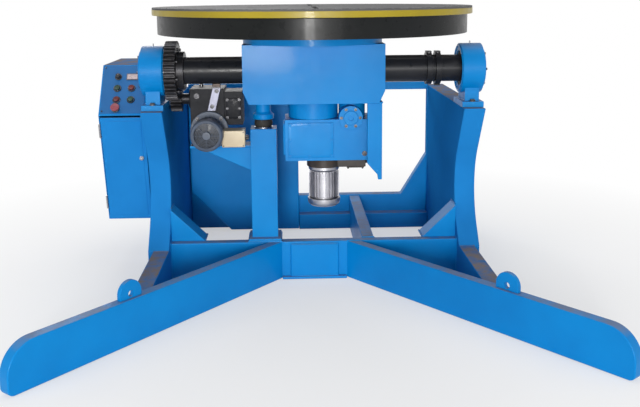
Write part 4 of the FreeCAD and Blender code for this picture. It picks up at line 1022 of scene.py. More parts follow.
class POSITIONER_OT_welds(bpy.types.Operator):
    """Run weld beads along the joints of the frame and the tilting body"""

    bl_idname = "positioner.welds"
    bl_label = "Weld beads"

    def execute(self, context):
        beam_low, beam_high = corners("front_beam")
        leg_low = corners("leg_right")[0]
        top = beam_high.z
        front, back = beam_low.y, beam_high.y
        leg_width = 0.0627
        runs = []
        for side in (-1, 1):
            cheek = side * beam_high.x
            root = side * leg_low.x
            edge = root + side * leg_width
            runs += [
                ((cheek, front, 0.004), (cheek, front, top)),
                ((cheek, front, top), (cheek, back, top)),
                ((root, front, top), (edge, front, top)),
                ((edge, front, 0.004), (edge, front, top)),
            ]
            rib_low, rib_high = corners("rib_right" if side > 0 else "rib_left")
            for x in (rib_low.x, rib_high.x):
                runs.append(((x, back, 0.004), (x, back, top)))
            runs.append(((rib_low.x, back, top), (rib_high.x, back, top)))
            rear = corners("rear_frame")[0].y + 0.06
            runs.append(((cheek, rear, 0.18), (cheek, rear, corners("cheek_right")[1].z - 0.003)))
        beads("frame_welds", "frame", runs)
        self.plate_welds()
        self.body_welds()
        return {"FINISHED"}

    def plate_welds(self):
        high = corners("apex_plate")[1]
        face_half = 0.108
        runs = [
            ((-face_half, high.y - 0.001, 0.012), (-face_half, high.y - 0.001, high.z)),
            ((face_half, high.y - 0.001, 0.012), (face_half, high.y - 0.001, high.z)),
            ((-face_half, high.y - 0.001, high.z), (face_half, high.y - 0.001, high.z)),
        ]
        low, high = corners("stop_post")
        z = low.z + 0.002
        runs += [
            ((low.x, low.y, z), (high.x, low.y, z)),
            ((low.x, high.y, z), (high.x, high.y, z)),
            ((low.x, low.y, z), (low.x, high.y, z)),
            ((high.x, low.y, z), (high.x, high.y, z)),
        ]
        low, high = corners("corner_gussets")
        for side in (-1, 1):
            wall = side * high.x
            tip = side * (high.x - 0.155)
            runs += [
                ((wall, high.y, low.z), (wall, high.y, high.z - 0.03)),
                ((tip, low.y + 0.012, low.z + 0.001), (tip, high.y, low.z + 0.001)),
                ((wall, low.y + 0.012, high.z), (wall, high.y, high.z)),
            ]
        beads("plate_welds", "frame", runs)

    def body_welds(self):
        low, high = corners("drive_bracket")
        z = high.z
        runs = [
            ((high.x, low.y + 0.004, z), (high.x, high.y - 0.004, z)),
            ((low.x, low.y, z), (high.x, low.y, z)),
        ]
        seat = corners("tilt_body")[1].z - 0.030
        for side in (-1, 1):
            y = TILT_AXIS.y + side * BODY_HALF
            runs.append(((-0.262, y, seat), (0.262, y, seat)))
        beads("body_welds", "tilt", runs)
        for side, word in ((-1, "left"), (1, "right")):
            ring = hoop(0.0615, 0.0042, 0, 72)
            stand(ring, on_shaft(side * 0.3085))
            done(ring, f"shaft_weld_{word}", "tilt", machine_paint(), 60)


class POSITIONER_OT_tilt_frame(bpy.types.Operator):
    """Round and paint the tilting body, its round housing, its bracket and its rest foot"""

    bl_idname = "positioner.tilt_frame"
    bl_label = "Tilting body"

    def execute(self, context):
        size = sizes()
        rounded("tilt_body", size.box_round, machine_paint(), 3)
        rounded("drive_bracket", size.edge_round, machine_paint())
        rounded("centre_housing", size.cast_round, cast_paint())
        self.body_cover()
        self.rest_foot()
        return {"FINISHED"}

    def body_cover(self):
        """A bolted cover on the back of the body."""
        y = TILT_AXIS.y + BODY_HALF
        cover = between((-0.19, y - 0.001, 0.885), (0.19, y + 0.006, 1.045))
        raised(cover, "Y", 0.020, 0.003, 0.0015)
        done(cover, "body_cover", "tilt", machine_paint())
        places = grid((-0.18, -0.06, 0.06, 0.18), y + 0.006, (0.895, 1.035), "Y")
        bolts("body_cover_bolts", "tilt", places, 0.008)

    def rest_foot(self):
        """The turned foot under the body that lands on the rubber buffer."""
        low, high = corners("rest_foot")
        radius = (high.x - low.x) / 2
        tall = high.z - low.z
        centre = middle("rest_foot")
        spun("rest_foot_turned", "tilt", machine_paint(), [
            (0, 0), (radius - 0.003, 0), (radius, 0.003), (radius, 0.022), (radius - 0.008, 0.028),
            (radius * 0.72, 0.034), (radius * 0.70, tall - 0.012), (radius * 0.86, tall), (0, tall),
        ], at((centre.x, centre.y, low.z)), node="rest_foot")


class POSITIONER_OT_stop_buffer(bpy.types.Operator):
    """Build the rubber buffer on its steel washer"""

    bl_idname = "positioner.stop_buffer"
    bl_label = "Stop buffer"

    def execute(self, context):
        low, high = corners("stop_buffer")
        radius = (high.x - low.x) / 2
        tall = high.z - low.z
        centre = middle("stop_buffer")
        place = at((centre.x, centre.y, low.z))
        spun("buffer_pad", "frame", rubber(), [
            (0, 0.005), (radius - 0.006, 0.005), (radius - 0.002, 0.011), (radius, tall / 2),
            (radius - 0.002, tall - 0.006), (radius - 0.006, tall), (0, tall),
        ], place, node="stop_buffer")
        washer = [(0, 0), (radius, 0), (radius, 0.004), (radius - 0.001, 0.005), (0, 0.005)]
        spun("buffer_washer", "frame", bright_steel(), washer, place)
        return {"FINISHED"}


class POSITIONER_OT_pillow_blocks(bpy.types.Operator):
    """Build the pillow blocks with their end caps, bolts and grease nipples"""

    bl_idname = "positioner.pillow_blocks"
    bl_label = "Pillow blocks"

    def execute(self, context):
        size = sizes()
        axis_y, axis_z = TILT_AXIS.y, TILT_AXIS.z
        bolt_reach, foot_top = 0.086, 0.8221
        feet, tops, cap_screws, caps, seals = [], [], [], [], []
        for word, side in (("left", -1), ("right", 1)):
            node = f"pillow_{word}"
            low, high = corners(node)
            rounded(node, size.cast_round, cast_paint(), 3)
            outer = high.x if side > 0 else low.x
            axis = "X" if side > 0 else "-X"
            cap = turned([
                (0, 0.0004), (0.0915, 0.0004), (0.0915, 0.007), (0.089, 0.0095), (0.062, 0.0105),
                (0.056, 0.007), (0.016, 0.007), (0.013, 0.010), (0, 0.010),
            ], steps=72)
            caps.append(stand(cap, on_shaft(outer, axis)))
            cap_screws += around(6, 0.076, (outer + side * 0.0094, axis_y, axis_z), axis, HALF_STEP)
            ring = hoop(0.101, 0.004, 0, 96)
            stand(ring, on_shaft(outer - side * 0.0965))
            done(ring, f"pillow_ring_{word}", "frame", cast_paint())
            seal = turned([
                (0.0615, 0), (0.0775, 0), (0.0775, 0.008), (0.0740, 0.0095), (0.0640, 0.0095),
                (0.0615, 0.007), (0.0615, 0),
            ], steps=64)
            seals.append(stand(seal, on_shaft(outer - side * 0.0835, "-X" if side > 0 else "X")))
            middle_x = (low.x + high.x) / 2
            tops.append(at((middle_x, axis_y, axis_z + 0.1105)))
            for end in (-1, 1):
                feet.append(at((middle_x, axis_y + end * bolt_reach, foot_top)))
        pair = done(join(*caps), "bearing_cap_pair", "frame", cast_paint())
        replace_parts(pair, "bearing_caps")
        bolts("bearing_cap_screws", "frame", cap_screws, 0.0055, cap_screw)
        done(join(*seals), "bearing_seals", "frame", rubber())
        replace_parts(bolts("pillow_foot_bolts", "frame", feet, 0.0115), "pillow_bolts")
        bolts("pillow_nipples", "frame", tops, 0.0028, nipple, bright_steel())
        recolour(bright_steel(), "bearing_left", "bearing_right")
        return {"FINISHED"}


class POSITIONER_OT_tilt_shaft(bpy.types.Operator):
    """Build the shafts, the tilt gears, the limit cams and their sensors"""

    bl_idname = "positioner.tilt_shaft"
    bl_label = "Tilt shaft and gears"

    def execute(self, context):
        for word, side in (("left", -1), ("right", 1)):
            low, high = corners(f"trunnion_{word}")
            radius = (high.z - low.z) / 2
            long = high.x - low.x
            inner = low.x if side > 0 else high.x
            place = on_shaft(inner, "X" if side > 0 else "-X")
            spun(f"tilt_shaft_{word}", "tilt", shaft_paint(), [
                (0, 0), (radius, 0), (radius, long - 0.004), (radius - 0.004, long), (0.006, long),
                (0.004, long - 0.006), (0, long - 0.008),
            ], place, 96, f"trunnion_{word}")
        start, end = corners("pillow_left")[1].x + 0.0006, corners("bull_gear")[0].x - 0.0006
        wide = end - start
        bore = 0.0602
        spun("shaft_spacer", "tilt", bright_steel(), [
            (bore, 0), (0.083, 0), (0.085, 0.002), (0.085, wide), (bore, wide), (bore, 0),
        ], on_shaft(start), 64)
        for node in ("bull_gear", "tilt_pinion"):
            rounded(node, 0.0008, gear_steel(), 1)
        self.gear_hub()
        self.cams()
        return {"FINISHED"}

    def gear_hub(self):
        face = corners("bull_gear")[0].x + 0.050
        places = around(8, 0.101, (face, TILT_AXIS.y, TILT_AXIS.z), "X", 0.3)
        bolts("hub_screws", "tilt", places, 0.0065, cap_screw)

    def cams(self):
        rounded("limit_cams", 0.0012, shaft_paint())
        low = corners("limit_cams")[0]
        places = [
            at((low.x + x, TILT_AXIS.y - 0.0185, TILT_AXIS.z + 0.069), "-Y") for x in (0.0125, 0.0525)
        ]
        bolts("cam_screws", "tilt", places, 0.0045, cap_screw)
        rounded("sensor_bracket", 0.001, dark_steel())
        low, high = corners("tilt_sensors")
        barrels, nuts = [], []
        long = high.y - low.y
        plate_low, plate_high = corners("sensor_bracket")
        for x in (low.x + 0.009, high.x - 0.009):
            profile = [(0, 0), (0.0078, 0), (0.0082, 0.003), (0.0082, 0.008)]
            turns = 20
            for index in range(turns):
                height = 0.008 + (long - 0.022) * index / turns
                profile += [(0.0089, height), (0.0083, height + 0.0012)]
            profile += [(0.0085, long - 0.013), (0.0085, long - 0.002), (0.006, long), (0, long)]
            barrels.append(stand(turned(profile, steps=20), at((x, low.y, middle("tilt_sensors").z), "Y")))
            for face, axis in ((plate_low.y, "-Y"), (plate_high.y, "Y")):
                nuts.append(at((x, face, middle("tilt_sensors").z), axis))
        barrel = done(join(*barrels), "sensor_barrels", "frame", bright_steel())
        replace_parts(barrel, "tilt_sensors")
        bolts("sensor_nuts", "frame", nuts, 0.0135, hex_head, bright_steel())


class POSITIONER_OT_tilt_gearbox(bpy.types.Operator):
    """Build the tilt gear unit: ribbed casing, covers, plugs and breather"""

    bl_idname = "positioner.tilt_gearbox"
    bl_label = "Tilt gear unit"

    def execute(self, context):
        dark = gearbox_paint()
        rounded("tilt_gearbox", 0.006, dark, 3)
        low, high = corners("tilt_gearbox")
        split = high.x - 0.083
        rib = between(
            (split - 0.030, high.y - 0.001, low.z + 0.012), (split - 0.018, high.y + 0.010, high.z - 0.012)
        )
        tapered(rib, "Y", (0.5, 1, 0.96), 0.0015)
        ribs = scatter(rib, [Matrix.Translation((-0.030 * index, 0, 0)) for index in range(4)])
        done(ribs, "gear_unit_ribs", "frame", dark)
        cover = between(
            (split + 0.008, low.y + 0.005, low.z + 0.125), (high.x - 0.008, low.y + 0.016, high.z - 0.045)
        )
        raised(cover, "-Y", 0.012, 0.004, 0.0015)
        done(cover, "gear_unit_cover", "frame", dark)
        rows = (low.z + 0.132, (low.z + high.z + 0.08) / 2, high.z - 0.052)
        places = grid((split + 0.015, high.x - 0.015), low.y + 0.005, rows, "-Y")
        bolts("gear_unit_bolts", "frame", places, 0.006)
        pinion = middle("tilt_pinion")
        spun("pinion_seal_flange", "frame", dark, [
            (0.0262, 0.0003), (0.044, 0.0003), (0.046, 0.002), (0.046, 0.008), (0.040, 0.011),
            (0.0262, 0.011), (0.0262, 0.0003),
        ], at((low.x - 0.0115, pinion.y, pinion.z), "X"))
        spun("gear_unit_breather", "frame", bright_steel(), [
            (0, 0), (0.010, 0), (0.010, 0.008), (0.007, 0.010), (0.007, 0.016), (0.013, 0.018),
            (0.014, 0.024), (0.010, 0.030), (0, 0.031),
        ], at((low.x + 0.04, low.y + 0.13, high.z - 0.0006)), 24)
        spots = [
            at((low.x + 0.030, low.y, high.z - 0.032), "-Y"),
            at((split + 0.035, high.y - 0.015, low.z + 0.130), "Y"),
        ]
        bolts("gear_unit_plugs", "frame", spots, 0.009, plug, dark_steel())
        spots = [
            at((low.x + x, low.y + y, low.z - 0.012), "-Z")
            for x in (0.02, 0.16)
            for y in (0.055, 0.095)
        ]
        bolts("shelf_bolts", "frame", spots, 0.009)
        return {"FINISHED"}


class POSITIONER_OT_tilt_motor(bpy.types.Operator):
    """Build the finned tilt motor, its fan cowl and its terminal box"""

    bl_idname = "positioner.tilt_motor"
    bl_label = "Tilt motor"

    def execute(self, context):
        low, high = corners("tilt_motor")
        centre = middle("tilt_motor")
        long = high.y - low.y
        enamel = motor_enamel()
        core = turned([
            (0, 0), (0.052, 0), (0.052, 0.006), (0.0575, 0.008), (0.0575, long - 0.026),
            (0.064, long - 0.021), (0.064, long - 0.015), (0.085, long - 0.015), (0.087, long - 0.013),
            (0.087, long - 0.002), (0.085, long), (0, long),
        ], steps=72)
        blades = fins(28, 0.0560, 0.0660, 0.008, long - 0.024, 0.0028)
        motor = join(core, blades)
        stand(motor, at((centre.x, low.y, centre.z), "Y"))
        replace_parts(done(motor, "tilt_motor_frame", "frame", enamel), "tilt_motor")
        places = around(4, 0.0765, (centre.x, high.y - 0.0150, centre.z), "-Y", DIAGONAL)
        bolts("tilt_flange_bolts", "frame", places, 0.007)
        self.cowl(centre)
        self.terminal_box()
        self.side_pad(centre)
        return {"FINISHED"}

    def cowl(self, centre):
        low, high = corners("tilt_fan_cowl")
        radius = (high.x - low.x) / 2
        long = high.y - low.y
        spun("tilt_cowl_shell", "frame", motor_enamel(), [
            (0.057, 0.004), (0.057, 0.0008), (0.0585, 0.0), (radius - 0.006, 0.0025),
            (radius - 0.001, 0.009), (radius, 0.014), (radius, long - 0.012),
            (radius - 0.0012, long - 0.010), (radius, long - 0.008), (radius, long), (0.055, long),
            (0.055, 0.012), (0.057, 0.004),
        ], at((centre.x, low.y, centre.z), "Y"), 72, "tilt_fan_cowl")
        guard = grille(0.057, 0.0013, 7, 8)
        stand(guard, at((centre.x, low.y + 0.003, centre.z), "-Y"))
        done(guard, "tilt_cowl_guard", "frame", motor_enamel())
        fan = [(0, 0), (0.054, 0), (0.054, 0.004), (0.018, 0.006), (0.014, 0.014), (0, 0.015)]
        place = at((centre.x, low.y + 0.028, centre.z), "-Y")
        spun("tilt_fan_disc", "frame", black_plastic(), fan, place, 40)

    def terminal_box(self):
        low, high = corners("tilt_terminal_box")
        base = between(low, high)
        raised(base, "-Y", 0.004, -0.014, 0.004, 3)
        done(base, "terminal_box_base", "frame", cream_moulding())
        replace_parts(base, "tilt_terminal_box")
        lid = between(
            (low.x - 0.001, low.y - 0.0035, low.z - 0.001), (high.x + 0.001, low.y + 0.0135, high.z + 0.001)
        )
        raised(lid, "-Y", 0.010, 0.003, 0.003, 3)
        done(lid, "terminal_box_lid", "frame", cream_moulding())
        rows = (low.z + 0.006, high.z - 0.006)
        places = grid((low.x + 0.006, high.x - 0.006), low.y - 0.0036, rows, "-Y")
        bolts("terminal_box_screws", "frame", places, 0.0032, cap_screw)
        places = [at((high.x - 0.0002, low.y + y, low.z + 0.036), "X") for y in (0.024, 0.054)]
        bolts("terminal_box_glands", "frame", places, 0.009, gland, black_plastic())

    def side_pad(self, centre):
        """A bare cast pad on the side of the motor."""
        low, high = corners("tilt_motor")
        pad = between(
            (low.x + 0.018, low.y + 0.026, centre.z - 0.018),
            (low.x + 0.032, high.y - 0.034, centre.z + 0.018),
        )
        soften(pad, 0.002, 2)
        done(pad, "tilt_motor_pad", "frame", motor_enamel())


class POSITIONER_OT_earth_return(bpy.types.Operator):
    """Build the slanted bar and the brush of the welding current return"""

    bl_idname = "positioner.earth_return"
    bl_label = "Earth return"

    def execute(self, context):
        rounded("earth_bar", 0.002, bar_enamel())
        low, high = corners("earth_brush")
        brush = between(low, high)
        pick(brush, lambda centre, normal: normal.z < -0.9)
        bpy.ops.mesh.inset(thickness=0.004, depth=0)
        bpy.ops.transform.translate(value=(0, 0, 0.002))
        leave()
        pick(brush, lambda centre, direction: abs(direction.z) > 0.9, "EDGE")
        bpy.ops.mesh.bevel(offset=0.0025, segments=2, affect="EDGES")
        leave()
        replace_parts(done(brush, "earth_brush_block", "frame", copper()), "earth_brush")
        centre = middle("earth_brush")
        bar_low = corners("earth_bar")[0]
        places = [
            at((centre.x, bar_low.y, high.z - 0.034), "-Y"),
            at((bar_low.x + 0.022, bar_low.y, bar_low.z + 0.02), "-Y"),
        ]
        bolts("earth_bolts", "frame", places, 0.0075)
        clamp = block((centre.x, centre.y, low.z + 0.004), (0.040, 0.034, 0.006))
        soften(clamp, 0.0012)
        done(clamp, "brush_holder", "frame", dark_steel())
        return {"FINISHED"}


class POSITIONER_OT_slewing_ring(bpy.types.Operator):
    """Finish the slewing ring, its teeth and its bolts"""

    bl_idname = "positioner.slewing_ring"
    bl_label = "Slewing ring"

    def execute(self, context):
        rounded("ring_fixed", 0.0015, shaft_paint())
        recolour(gear_steel(), "ring_moving", "slew_pinion")
        low, high = corners("ring_fixed")
        bolts("ring_screws", "tilt", around(24, 0.281, (0, TILT_AXIS.y, high.z)), 0.0085, cap_screw)
        places = around(4, 0.3049, (0, TILT_AXIS.y, (low.z + high.z) / 2), "Z", DIAGONAL)
        spots = []
        for place in places:
            spots.append(place @ Matrix.Rotation(math.radians(90), 4, "Y"))
        bolts("ring_nipples", "tilt", spots, 0.0035, nipple, bright_steel())
        return {"FINISHED"}


class POSITIONER_OT_table(bpy.types.Operator):
    """Finish the slotted table, its ribbed skirt and its yellow band"""

    bl_idname = "positioner.table"
    bl_label = "Table"

    def execute(self, context):
        size = sizes()
        rounded("table_plate", 0.0015, turned_steel_and_reflection())
        rounded("table_skirt", 0.002, drum_paint())
        low, high = corners("table_plate")
        radius = (high.x - low.x) / 2
        foot, head = low.z - 0.0004, low.z + size.rim_band
        band = turned([
            (radius - 0.002, foot), (radius + 0.0004, foot), (radius + 0.0012, foot + 0.0012),
            (radius + 0.0012, head - 0.0012), (radius + 0.0004, head), (radius - 0.002, head),
            (radius - 0.002, foot),
        ], (0, TILT_AXIS.y, 0), steps=180)
        done(band, "rim_band", "table", band_paint(), 50)
        seam = hoop(radius - 0.0203, 0.0036, low.z - 0.0005, 160)
        stand(seam, at((0, TILT_AXIS.y, 0)))
        done(seam, "skirt_weld", "table", drum_paint(), 60)
        return {"FINISHED"}


class POSITIONER_OT_slewing_drive(bpy.types.Operator):
    """Build the slewing gear unit with its covers, bolts and plugs"""

    bl_idname = "positioner.slewing_drive"
    bl_label = "Slewing gear unit"

    def execute(self, context):
        rounded("drive_gearbox", 0.004, cast_paint(), 3)
        low = corners("drive_gearbox")[0]
        front = low.y + 0.014
        floor, roof = low.z, low.z + 0.185
        cover = between((low.x + 0.014, front - 0.005, floor + 0.014), (0.086, front + 0.001, roof - 0.014))
        raised(cover, "-Y", 0.016, 0.003, 0.0015)
        done(cover, "drive_cover_plate", "tilt", cast_paint())
        rows = (floor + 0.022, (floor + roof) / 2, roof - 0.022)
        places = grid((low.x + 0.022, -0.020, 0.078), front - 0.005, rows, "-Y", hollow=True)
        bolts("drive_cover_bolts", "tilt", places, 0.0062, material=cast_paint())
        centre = (0.163, low.y + 0.0004, 0.758)
        spun("worm_cap", "tilt", cast_paint(), [
            (0, 0), (0.030, 0), (0.032, 0.002), (0.032, 0.006), (0.030, 0.008), (0.012, 0.008),
            (0.011, 0.004), (0, 0.004),
        ], at(centre, "-Y"), 40)
        bolts("worm_cover_bolts", "tilt", around(6, 0.042, centre, "-Y"), 0.0055)
        spots = [at((0.225, front, floor + 0.03), "-Y"), at((low.x, TILT_AXIS.y + 0.081, floor + 0.05), "-X")]
        bolts("drive_plugs", "tilt", spots, 0.0085, plug, dark_steel())
        start = TILT_AXIS.y - 0.070
        rib = between((low.x - 0.009, start, floor + 0.02), (low.x + 0.001, start + 0.010, roof - 0.02))
        tapered(rib, "-X", (1, 0.5, 0.94), 0.0015)
        ribs = scatter(rib, [Matrix.Translation((0, 0.030 * index, 0)) for index in range(5)])
        done(ribs, "drive_ribs", "tilt", cast_paint())
        return {"FINISHED"}


class POSITIONER_OT_slewing_motor(bpy.types.Operator):
    """Build the finned slewing motor, its adapter and its domed cowl"""

    bl_idname = "positioner.slewing_motor"
    bl_label = "Slewing motor"

    def execute(self, context):
        low, high = corners("slew_motor")
        centre = middle("slew_motor")
        long = high.z - low.z
        core = turned([
            (0, 0), (0.054, 0), (0.054, 0.006), (0.0575, 0.008), (0.0575, long - 0.022),
            (0.066, long - 0.018), (0.070, long - 0.012), (0.070, long), (0, long),
        ], steps=72)
        motor = join(core, fins(26, 0.0565, 0.0695, 0.006, long - 0.022, 0.0030))
        stand(motor, at((centre.x, centre.y, low.z)))
        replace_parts(done(motor, "slew_motor_frame", "tilt", bright_alloy()), "slew_motor")
        places = around(4, 0.062, (centre.x, centre.y, high.z - 0.012), "-Z", DIAGONAL)
        bolts("slew_flange_bolts", "tilt", places, 0.0055)
        box_low, box_high = corners("slew_fan_cowl")
        radius = (box_high.x - box_low.x) / 2
        tall = box_high.z - box_low.z
        spun("slew_cowl_shell", "tilt", bright_alloy(), [
            (0.024, 0.0), (radius - 0.030, 0.0), (radius - 0.014, 0.004), (radius - 0.004, 0.012),
            (radius, 0.022), (radius, tall), (0.066, tall), (0.066, 0.016), (0.024, 0.004), (0.024, 0.0),
        ], at((centre.x, centre.y, box_low.z)), 72, "slew_fan_cowl")
        guard = grille(0.025, 0.0011, 4, 6)
        stand(guard, at((centre.x, centre.y, box_low.z + 0.002)))
        done(guard, "slew_cowl_guard", "tilt", bright_alloy())
        self.adapter()
        return {"FINISHED"}

    def adapter(self):
        rounded("drive_adapter", 0.003, adapter_paint(), 3)
        low, high = corners("drive_adapter")
        y0, y1 = TILT_AXIS.y - 0.043, TILT_AXIS.y + 0.043
        lid = between((high.x - 0.086, y0, low.z - 0.006), (high.x - 0.006, y1, low.z + 0.0005))
        soften(lid, 0.003, 3)
        done(lid, "adapter_lid", "tilt", adapter_paint())
        places = [
            at((x, y, low.z - 0.006), "-Z")
            for x in (high.x - 0.079, high.x - 0.013)
            for y in (y0 + 0.007, y1 - 0.007)
        ]
        bolts("adapter_screws", "tilt", places, 0.0038, cap_screw)
        places = [at((high.x - 0.0003, TILT_AXIS.y + y, low.z + 0.020), "X") for y in (-0.020, 0.020)]
        bolts("adapter_glands", "tilt", places, 0.0085, gland, black_plastic())


class POSITIONER_OT_cabinet(bpy.types.Operator):
    """Build the control cabinet: case, louvres, glands, door, hinges and latch"""

    bl_idname = "positioner.cabinet"
    bl_label = "Control cabinet"

    def execute(self, context):
        size = sizes()
        rounded("cabinet_case", size.edge_round, dull_paint())
        self.door()
        self.louvres()
        low = corners("cabinet_case")[0]
        places = [at((low.x + x, low.y + 0.33, low.z), "-Z") for x in (0.05, 0.10, 0.15)]
        bolts("cabinet_glands", "frame", places, 0.012, gland, black_plastic())
        return {"FINISHED"}

    def door(self):
        turn = Matrix.Rotation(sizes().door_lean, 4, "X")
        low, high = corners("cabinet_door")
        wide = high.x - low.x
        tall = (high.z - low.z) / math.sin(sizes().door_lean) - 0.001
        leaf = block((0, 0, 0), (wide, tall, 0.004))
        pick(leaf, lambda centre, normal: normal.z > 0.9)
        bpy.ops.mesh.inset(thickness=0.016, depth=0)
        bpy.ops.mesh.extrude_region_move(TRANSFORM_OT_translate={"value": (0, 0, 0.0016)})
        bpy.ops.mesh.inset(thickness=0.006, depth=0)
        leave()
        soften(leaf, 0.0011)
        stand(leaf, sloped("cabinet_door", turn))
        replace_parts(done(leaf, "door_leaf", "door", dull_paint()), "cabinet_door")
        spot = sloped("door_latch", turn)
        latch = turned([
            (0, -0.007), (0.0095, -0.007), (0.010, -0.006), (0.010, 0.001), (0.0085, 0.002), (0, 0.002),
        ], steps=32)
        wing = block((0, 0, 0.0044), (0.017, 0.0052, 0.0056))
        soften(wing, 0.0012)
        latch = join(latch, wing)
        stand(latch, spot)
        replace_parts(done(latch, "door_latch_wing", "latch", bright_steel()), "door_latch")
        low = corners("door_hinges")[0]
        upright = Matrix.Rotation(sizes().door_lean - math.radians(90), 4, "X")
        rise = upright.to_3x3() @ Vector((0, 0, 1))
        out = turn.to_3x3() @ Vector((0, 0, 1))
        foot = Vector((low.x + 0.006, TILT_AXIS.y + 0.104, corners("cabinet_case")[0].z))
        hinge_long = 0.060
        pins = []
        for start in (0.0629, 0.4193):
            for along, flip in ((start, 180), (start + hinge_long, 0)):
                cap = turned([
                    (0, -0.0005), (0.0042, -0.0005), (0.0052, 0.0008), (0.0052, 0.0030),
                    (0.0042, 0.0040), (0, 0.0040),
                ], steps=16)
                place = Matrix.Translation(foot + rise * along + out * 0.005) @ upright
                pins.append(stand(cap, place @ Matrix.Rotation(math.radians(flip), 4, "X")))
        recolour(bright_steel(), "door_hinges")
        done(join(*pins), "hinge_pins", "frame", bright_steel())

    def louvres(self):
        """Pressed louvres on the cabinet's outer side."""
        low = corners("cabinet_case")[0]
        louvre = block((0, 0, 0), (0.008, 0.13, 0.012))
        tapered(louvre, "-X", (1, 0.92, 0.25), 0.0016, (0, 0, -0.004))
        places = []
        for index in range(8):
            for y in (0.36, 0.53):
                places.append(Matrix.Translation((low.x - 0.0005, y, 0.66 + 0.024 * index)))
        done(scatter(louvre, places), "cabinet_louvres", "frame", dull_paint())


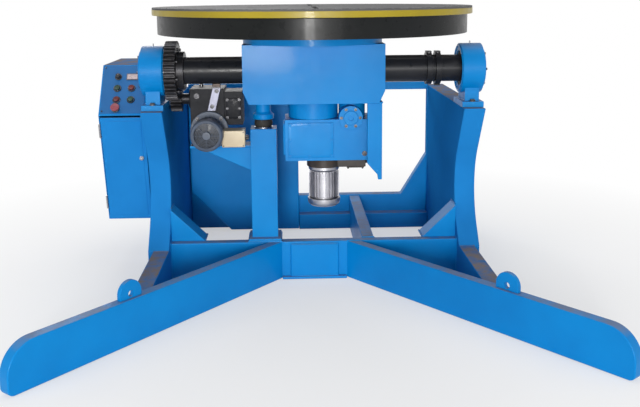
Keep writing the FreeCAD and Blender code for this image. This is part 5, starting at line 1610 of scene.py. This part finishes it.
class POSITIONER_OT_control_panel(bpy.types.Operator):
    """Build the panel with its push buttons, stop button, speed knob and meter"""

    bl_idname = "positioner.control_panel"
    bl_label = "Control panel"

    def execute(self, context):
        rounded("control_panel", 0.001, panel_paint())
        turn = Matrix.Rotation(sizes().desk_slope, 4, "X")
        red, green = red_plastic(), green_plastic()
        rings = []
        for node, body, slot, material in (
            ("tilt_up_button", "tilt_up", "green_plastic", green),
            ("tilt_down_button", "tilt_down", "red_plastic", red),
            ("turn_left_button", "turn_left", "red_plastic", red),
            ("turn_right_button", "turn_right", "green_plastic", green),
        ):
            spot = sloped(node, turn)
            spun(f"{body}_cap", body, material, [
                (0, -0.004), (0.0125, -0.004), (0.0125, 0.0025), (0.0115, 0.004), (0.009, 0.0032),
                (0, 0.0028),
            ], spot, 32, node)
            rings.append(spot @ Matrix.Translation((0, 0, -0.009)))
        spot = sloped("estop_button", turn)
        spun("estop_mushroom", "estop", stop_red(), [
            (0, -0.009), (0.0115, -0.009), (0.0115, -0.001), (0.018, 0.001), (0.020, 0.004),
            (0.0185, 0.0072), (0.012, 0.0088), (0, 0.009),
        ], spot, 40, "estop_button")
        rings.append(spot @ Matrix.Translation((0, 0, -0.014)))
        ring = turned([
            (0.0137, 0), (0.018, 0), (0.018, 0.003), (0.0165, 0.005), (0.0142, 0.005), (0.0137, 0.0044),
            (0.0137, 0),
        ], steps=40)
        bezels = scatter(ring, rings)
        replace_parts(done(bezels, "control_bezels", "frame", dark_steel()), "button_bezels")
        self.speed_knob(turn)
        self.speed_meter(turn)
        self.screws(turn)
        return {"FINISHED"}

    def speed_knob(self, turn):
        skirt = turned([
            (0, -0.009), (0.0155, -0.009), (0.016, -0.008), (0.0155, -0.0055), (0.0115, -0.004),
            (0.011, 0.0075), (0.0095, 0.009), (0, 0.009),
        ], steps=48)
        flute = block((0.0112, 0, 0.0015), (0.0016, 0.0016, 0.010))
        soften(flute, 0.0005, 1)
        knob = join(skirt, scatter(flute, turns(20)))
        spot = sloped("speed_knob", turn)
        stand(knob, spot)
        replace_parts(done(knob, "speed_knob_grip", "knob", black_plastic()), "speed_knob")
        mark = block((0, 0.0052, 0.0088), (0.0012, 0.0085, 0.0009))
        soften(mark, 0.0002, 1)
        stand(mark, spot)
        done(mark, "speed_knob_mark", "knob", dial_face())

    def speed_meter(self, turn):
        spot = sloped("speed_meter", turn)
        case = block((0, 0, 0), (0.052, 0.032, 0.006))
        pick(case, lambda centre, normal: normal.z > 0.9)
        bpy.ops.mesh.inset(thickness=0.003, depth=0)
        bpy.ops.mesh.extrude_region_move(TRANSFORM_OT_translate={"value": (0, 0, -0.0016)})
        leave()
        soften(case, 0.0007)
        stand(case, spot)
        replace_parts(done(case, "speed_meter_case", "frame", meter_moulding()), "speed_meter")
        face = block((0, 0, 0.0012), (0.0455, 0.0255, 0.0006))
        soften(face, 0.0002, 1)
        stand(face, spot)
        done(face, "speed_meter_face", "frame", dial_face())
        marks = []
        for index in range(11):
            angle = math.radians(150 - 12 * index)
            long = 0.0035 if index % 5 == 0 else 0.0022
            tick = block((0, 0.0165, 0.0017), (0.0005, long, 0.0003))
            soften(tick, 0.00008, 1)
            place = Matrix.Translation((0, -0.010, 0)) @ Matrix.Rotation(angle - math.radians(90), 4, "Z")
            marks.append(stand(tick, spot @ place))
        needle = block((0, 0.007, 0.0019), (0.0007, 0.014, 0.0003))
        soften(needle, 0.00008, 1)
        place = Matrix.Translation((0, -0.010, 0)) @ Matrix.Rotation(math.radians(38), 4, "Z")
        marks.append(stand(needle, spot @ place))
        done(join(*marks), "speed_meter_marks", "frame", black_plastic())

    def screws(self, turn):
        low, high = corners("control_panel")
        centre = middle("control_panel")
        wide = (high.x - low.x) / 2 - 0.009
        tall = (high.z - low.z) / math.sin(sizes().desk_slope) / 2 - 0.012
        places = []
        for x in (-wide, wide):
            for y in (-tall, tall):
                places.append(Matrix.Translation(centre) @ turn @ Matrix.Translation((x, y, 0.0010)))
        bolts("panel_screws", "frame", places, 0.0035, cap_screw)


class POSITIONER_PT_panel(bpy.types.Panel):
    """The positioner's pieces, sizes and colours"""

    bl_idname = "POSITIONER_PT_panel"
    bl_label = "Welding positioner"
    bl_space_type = "VIEW_3D"
    bl_region_type = "UI"
    bl_category = "Positioner"

    def draw(self, context):
        column = self.layout.column(align=True)
        for operator in OPERATORS:
            column.operator(operator.bl_idname)
        for group in (sizes(), colours()):
            box = self.layout.box()
            for name in group.bl_rna.properties.keys():
                if name not in ("rna_type", "name"):
                    box.prop(group, name)


OPERATORS = (
    POSITIONER_OT_stage,
    POSITIONER_OT_weldments,
    POSITIONER_OT_welds,
    POSITIONER_OT_tilt_frame,
    POSITIONER_OT_stop_buffer,
    POSITIONER_OT_pillow_blocks,
    POSITIONER_OT_tilt_shaft,
    POSITIONER_OT_tilt_gearbox,
    POSITIONER_OT_tilt_motor,
    POSITIONER_OT_earth_return,
    POSITIONER_OT_slewing_ring,
    POSITIONER_OT_table,
    POSITIONER_OT_slewing_drive,
    POSITIONER_OT_slewing_motor,
    POSITIONER_OT_cabinet,
    POSITIONER_OT_control_panel,
)
CLASSES = (PositionerSizes, PositionerColours, *OPERATORS, POSITIONER_PT_panel)


def register():
    for entry in CLASSES:
        bpy.utils.register_class(entry)
    bpy.types.Scene.positioner_sizes = bpy.props.PointerProperty(type=PositionerSizes)
    bpy.types.Scene.positioner_colours = bpy.props.PointerProperty(type=PositionerColours)


def unregister():
    del bpy.types.Scene.positioner_colours
    del bpy.types.Scene.positioner_sizes
    for entry in reversed(CLASSES):
        bpy.utils.unregister_class(entry)


def main():
    register()
    for operator in OPERATORS:
        group, name = operator.bl_idname.split(".")
        getattr(getattr(bpy.ops, group), name)()
    clear()


if __name__ == "__main__":
    main()
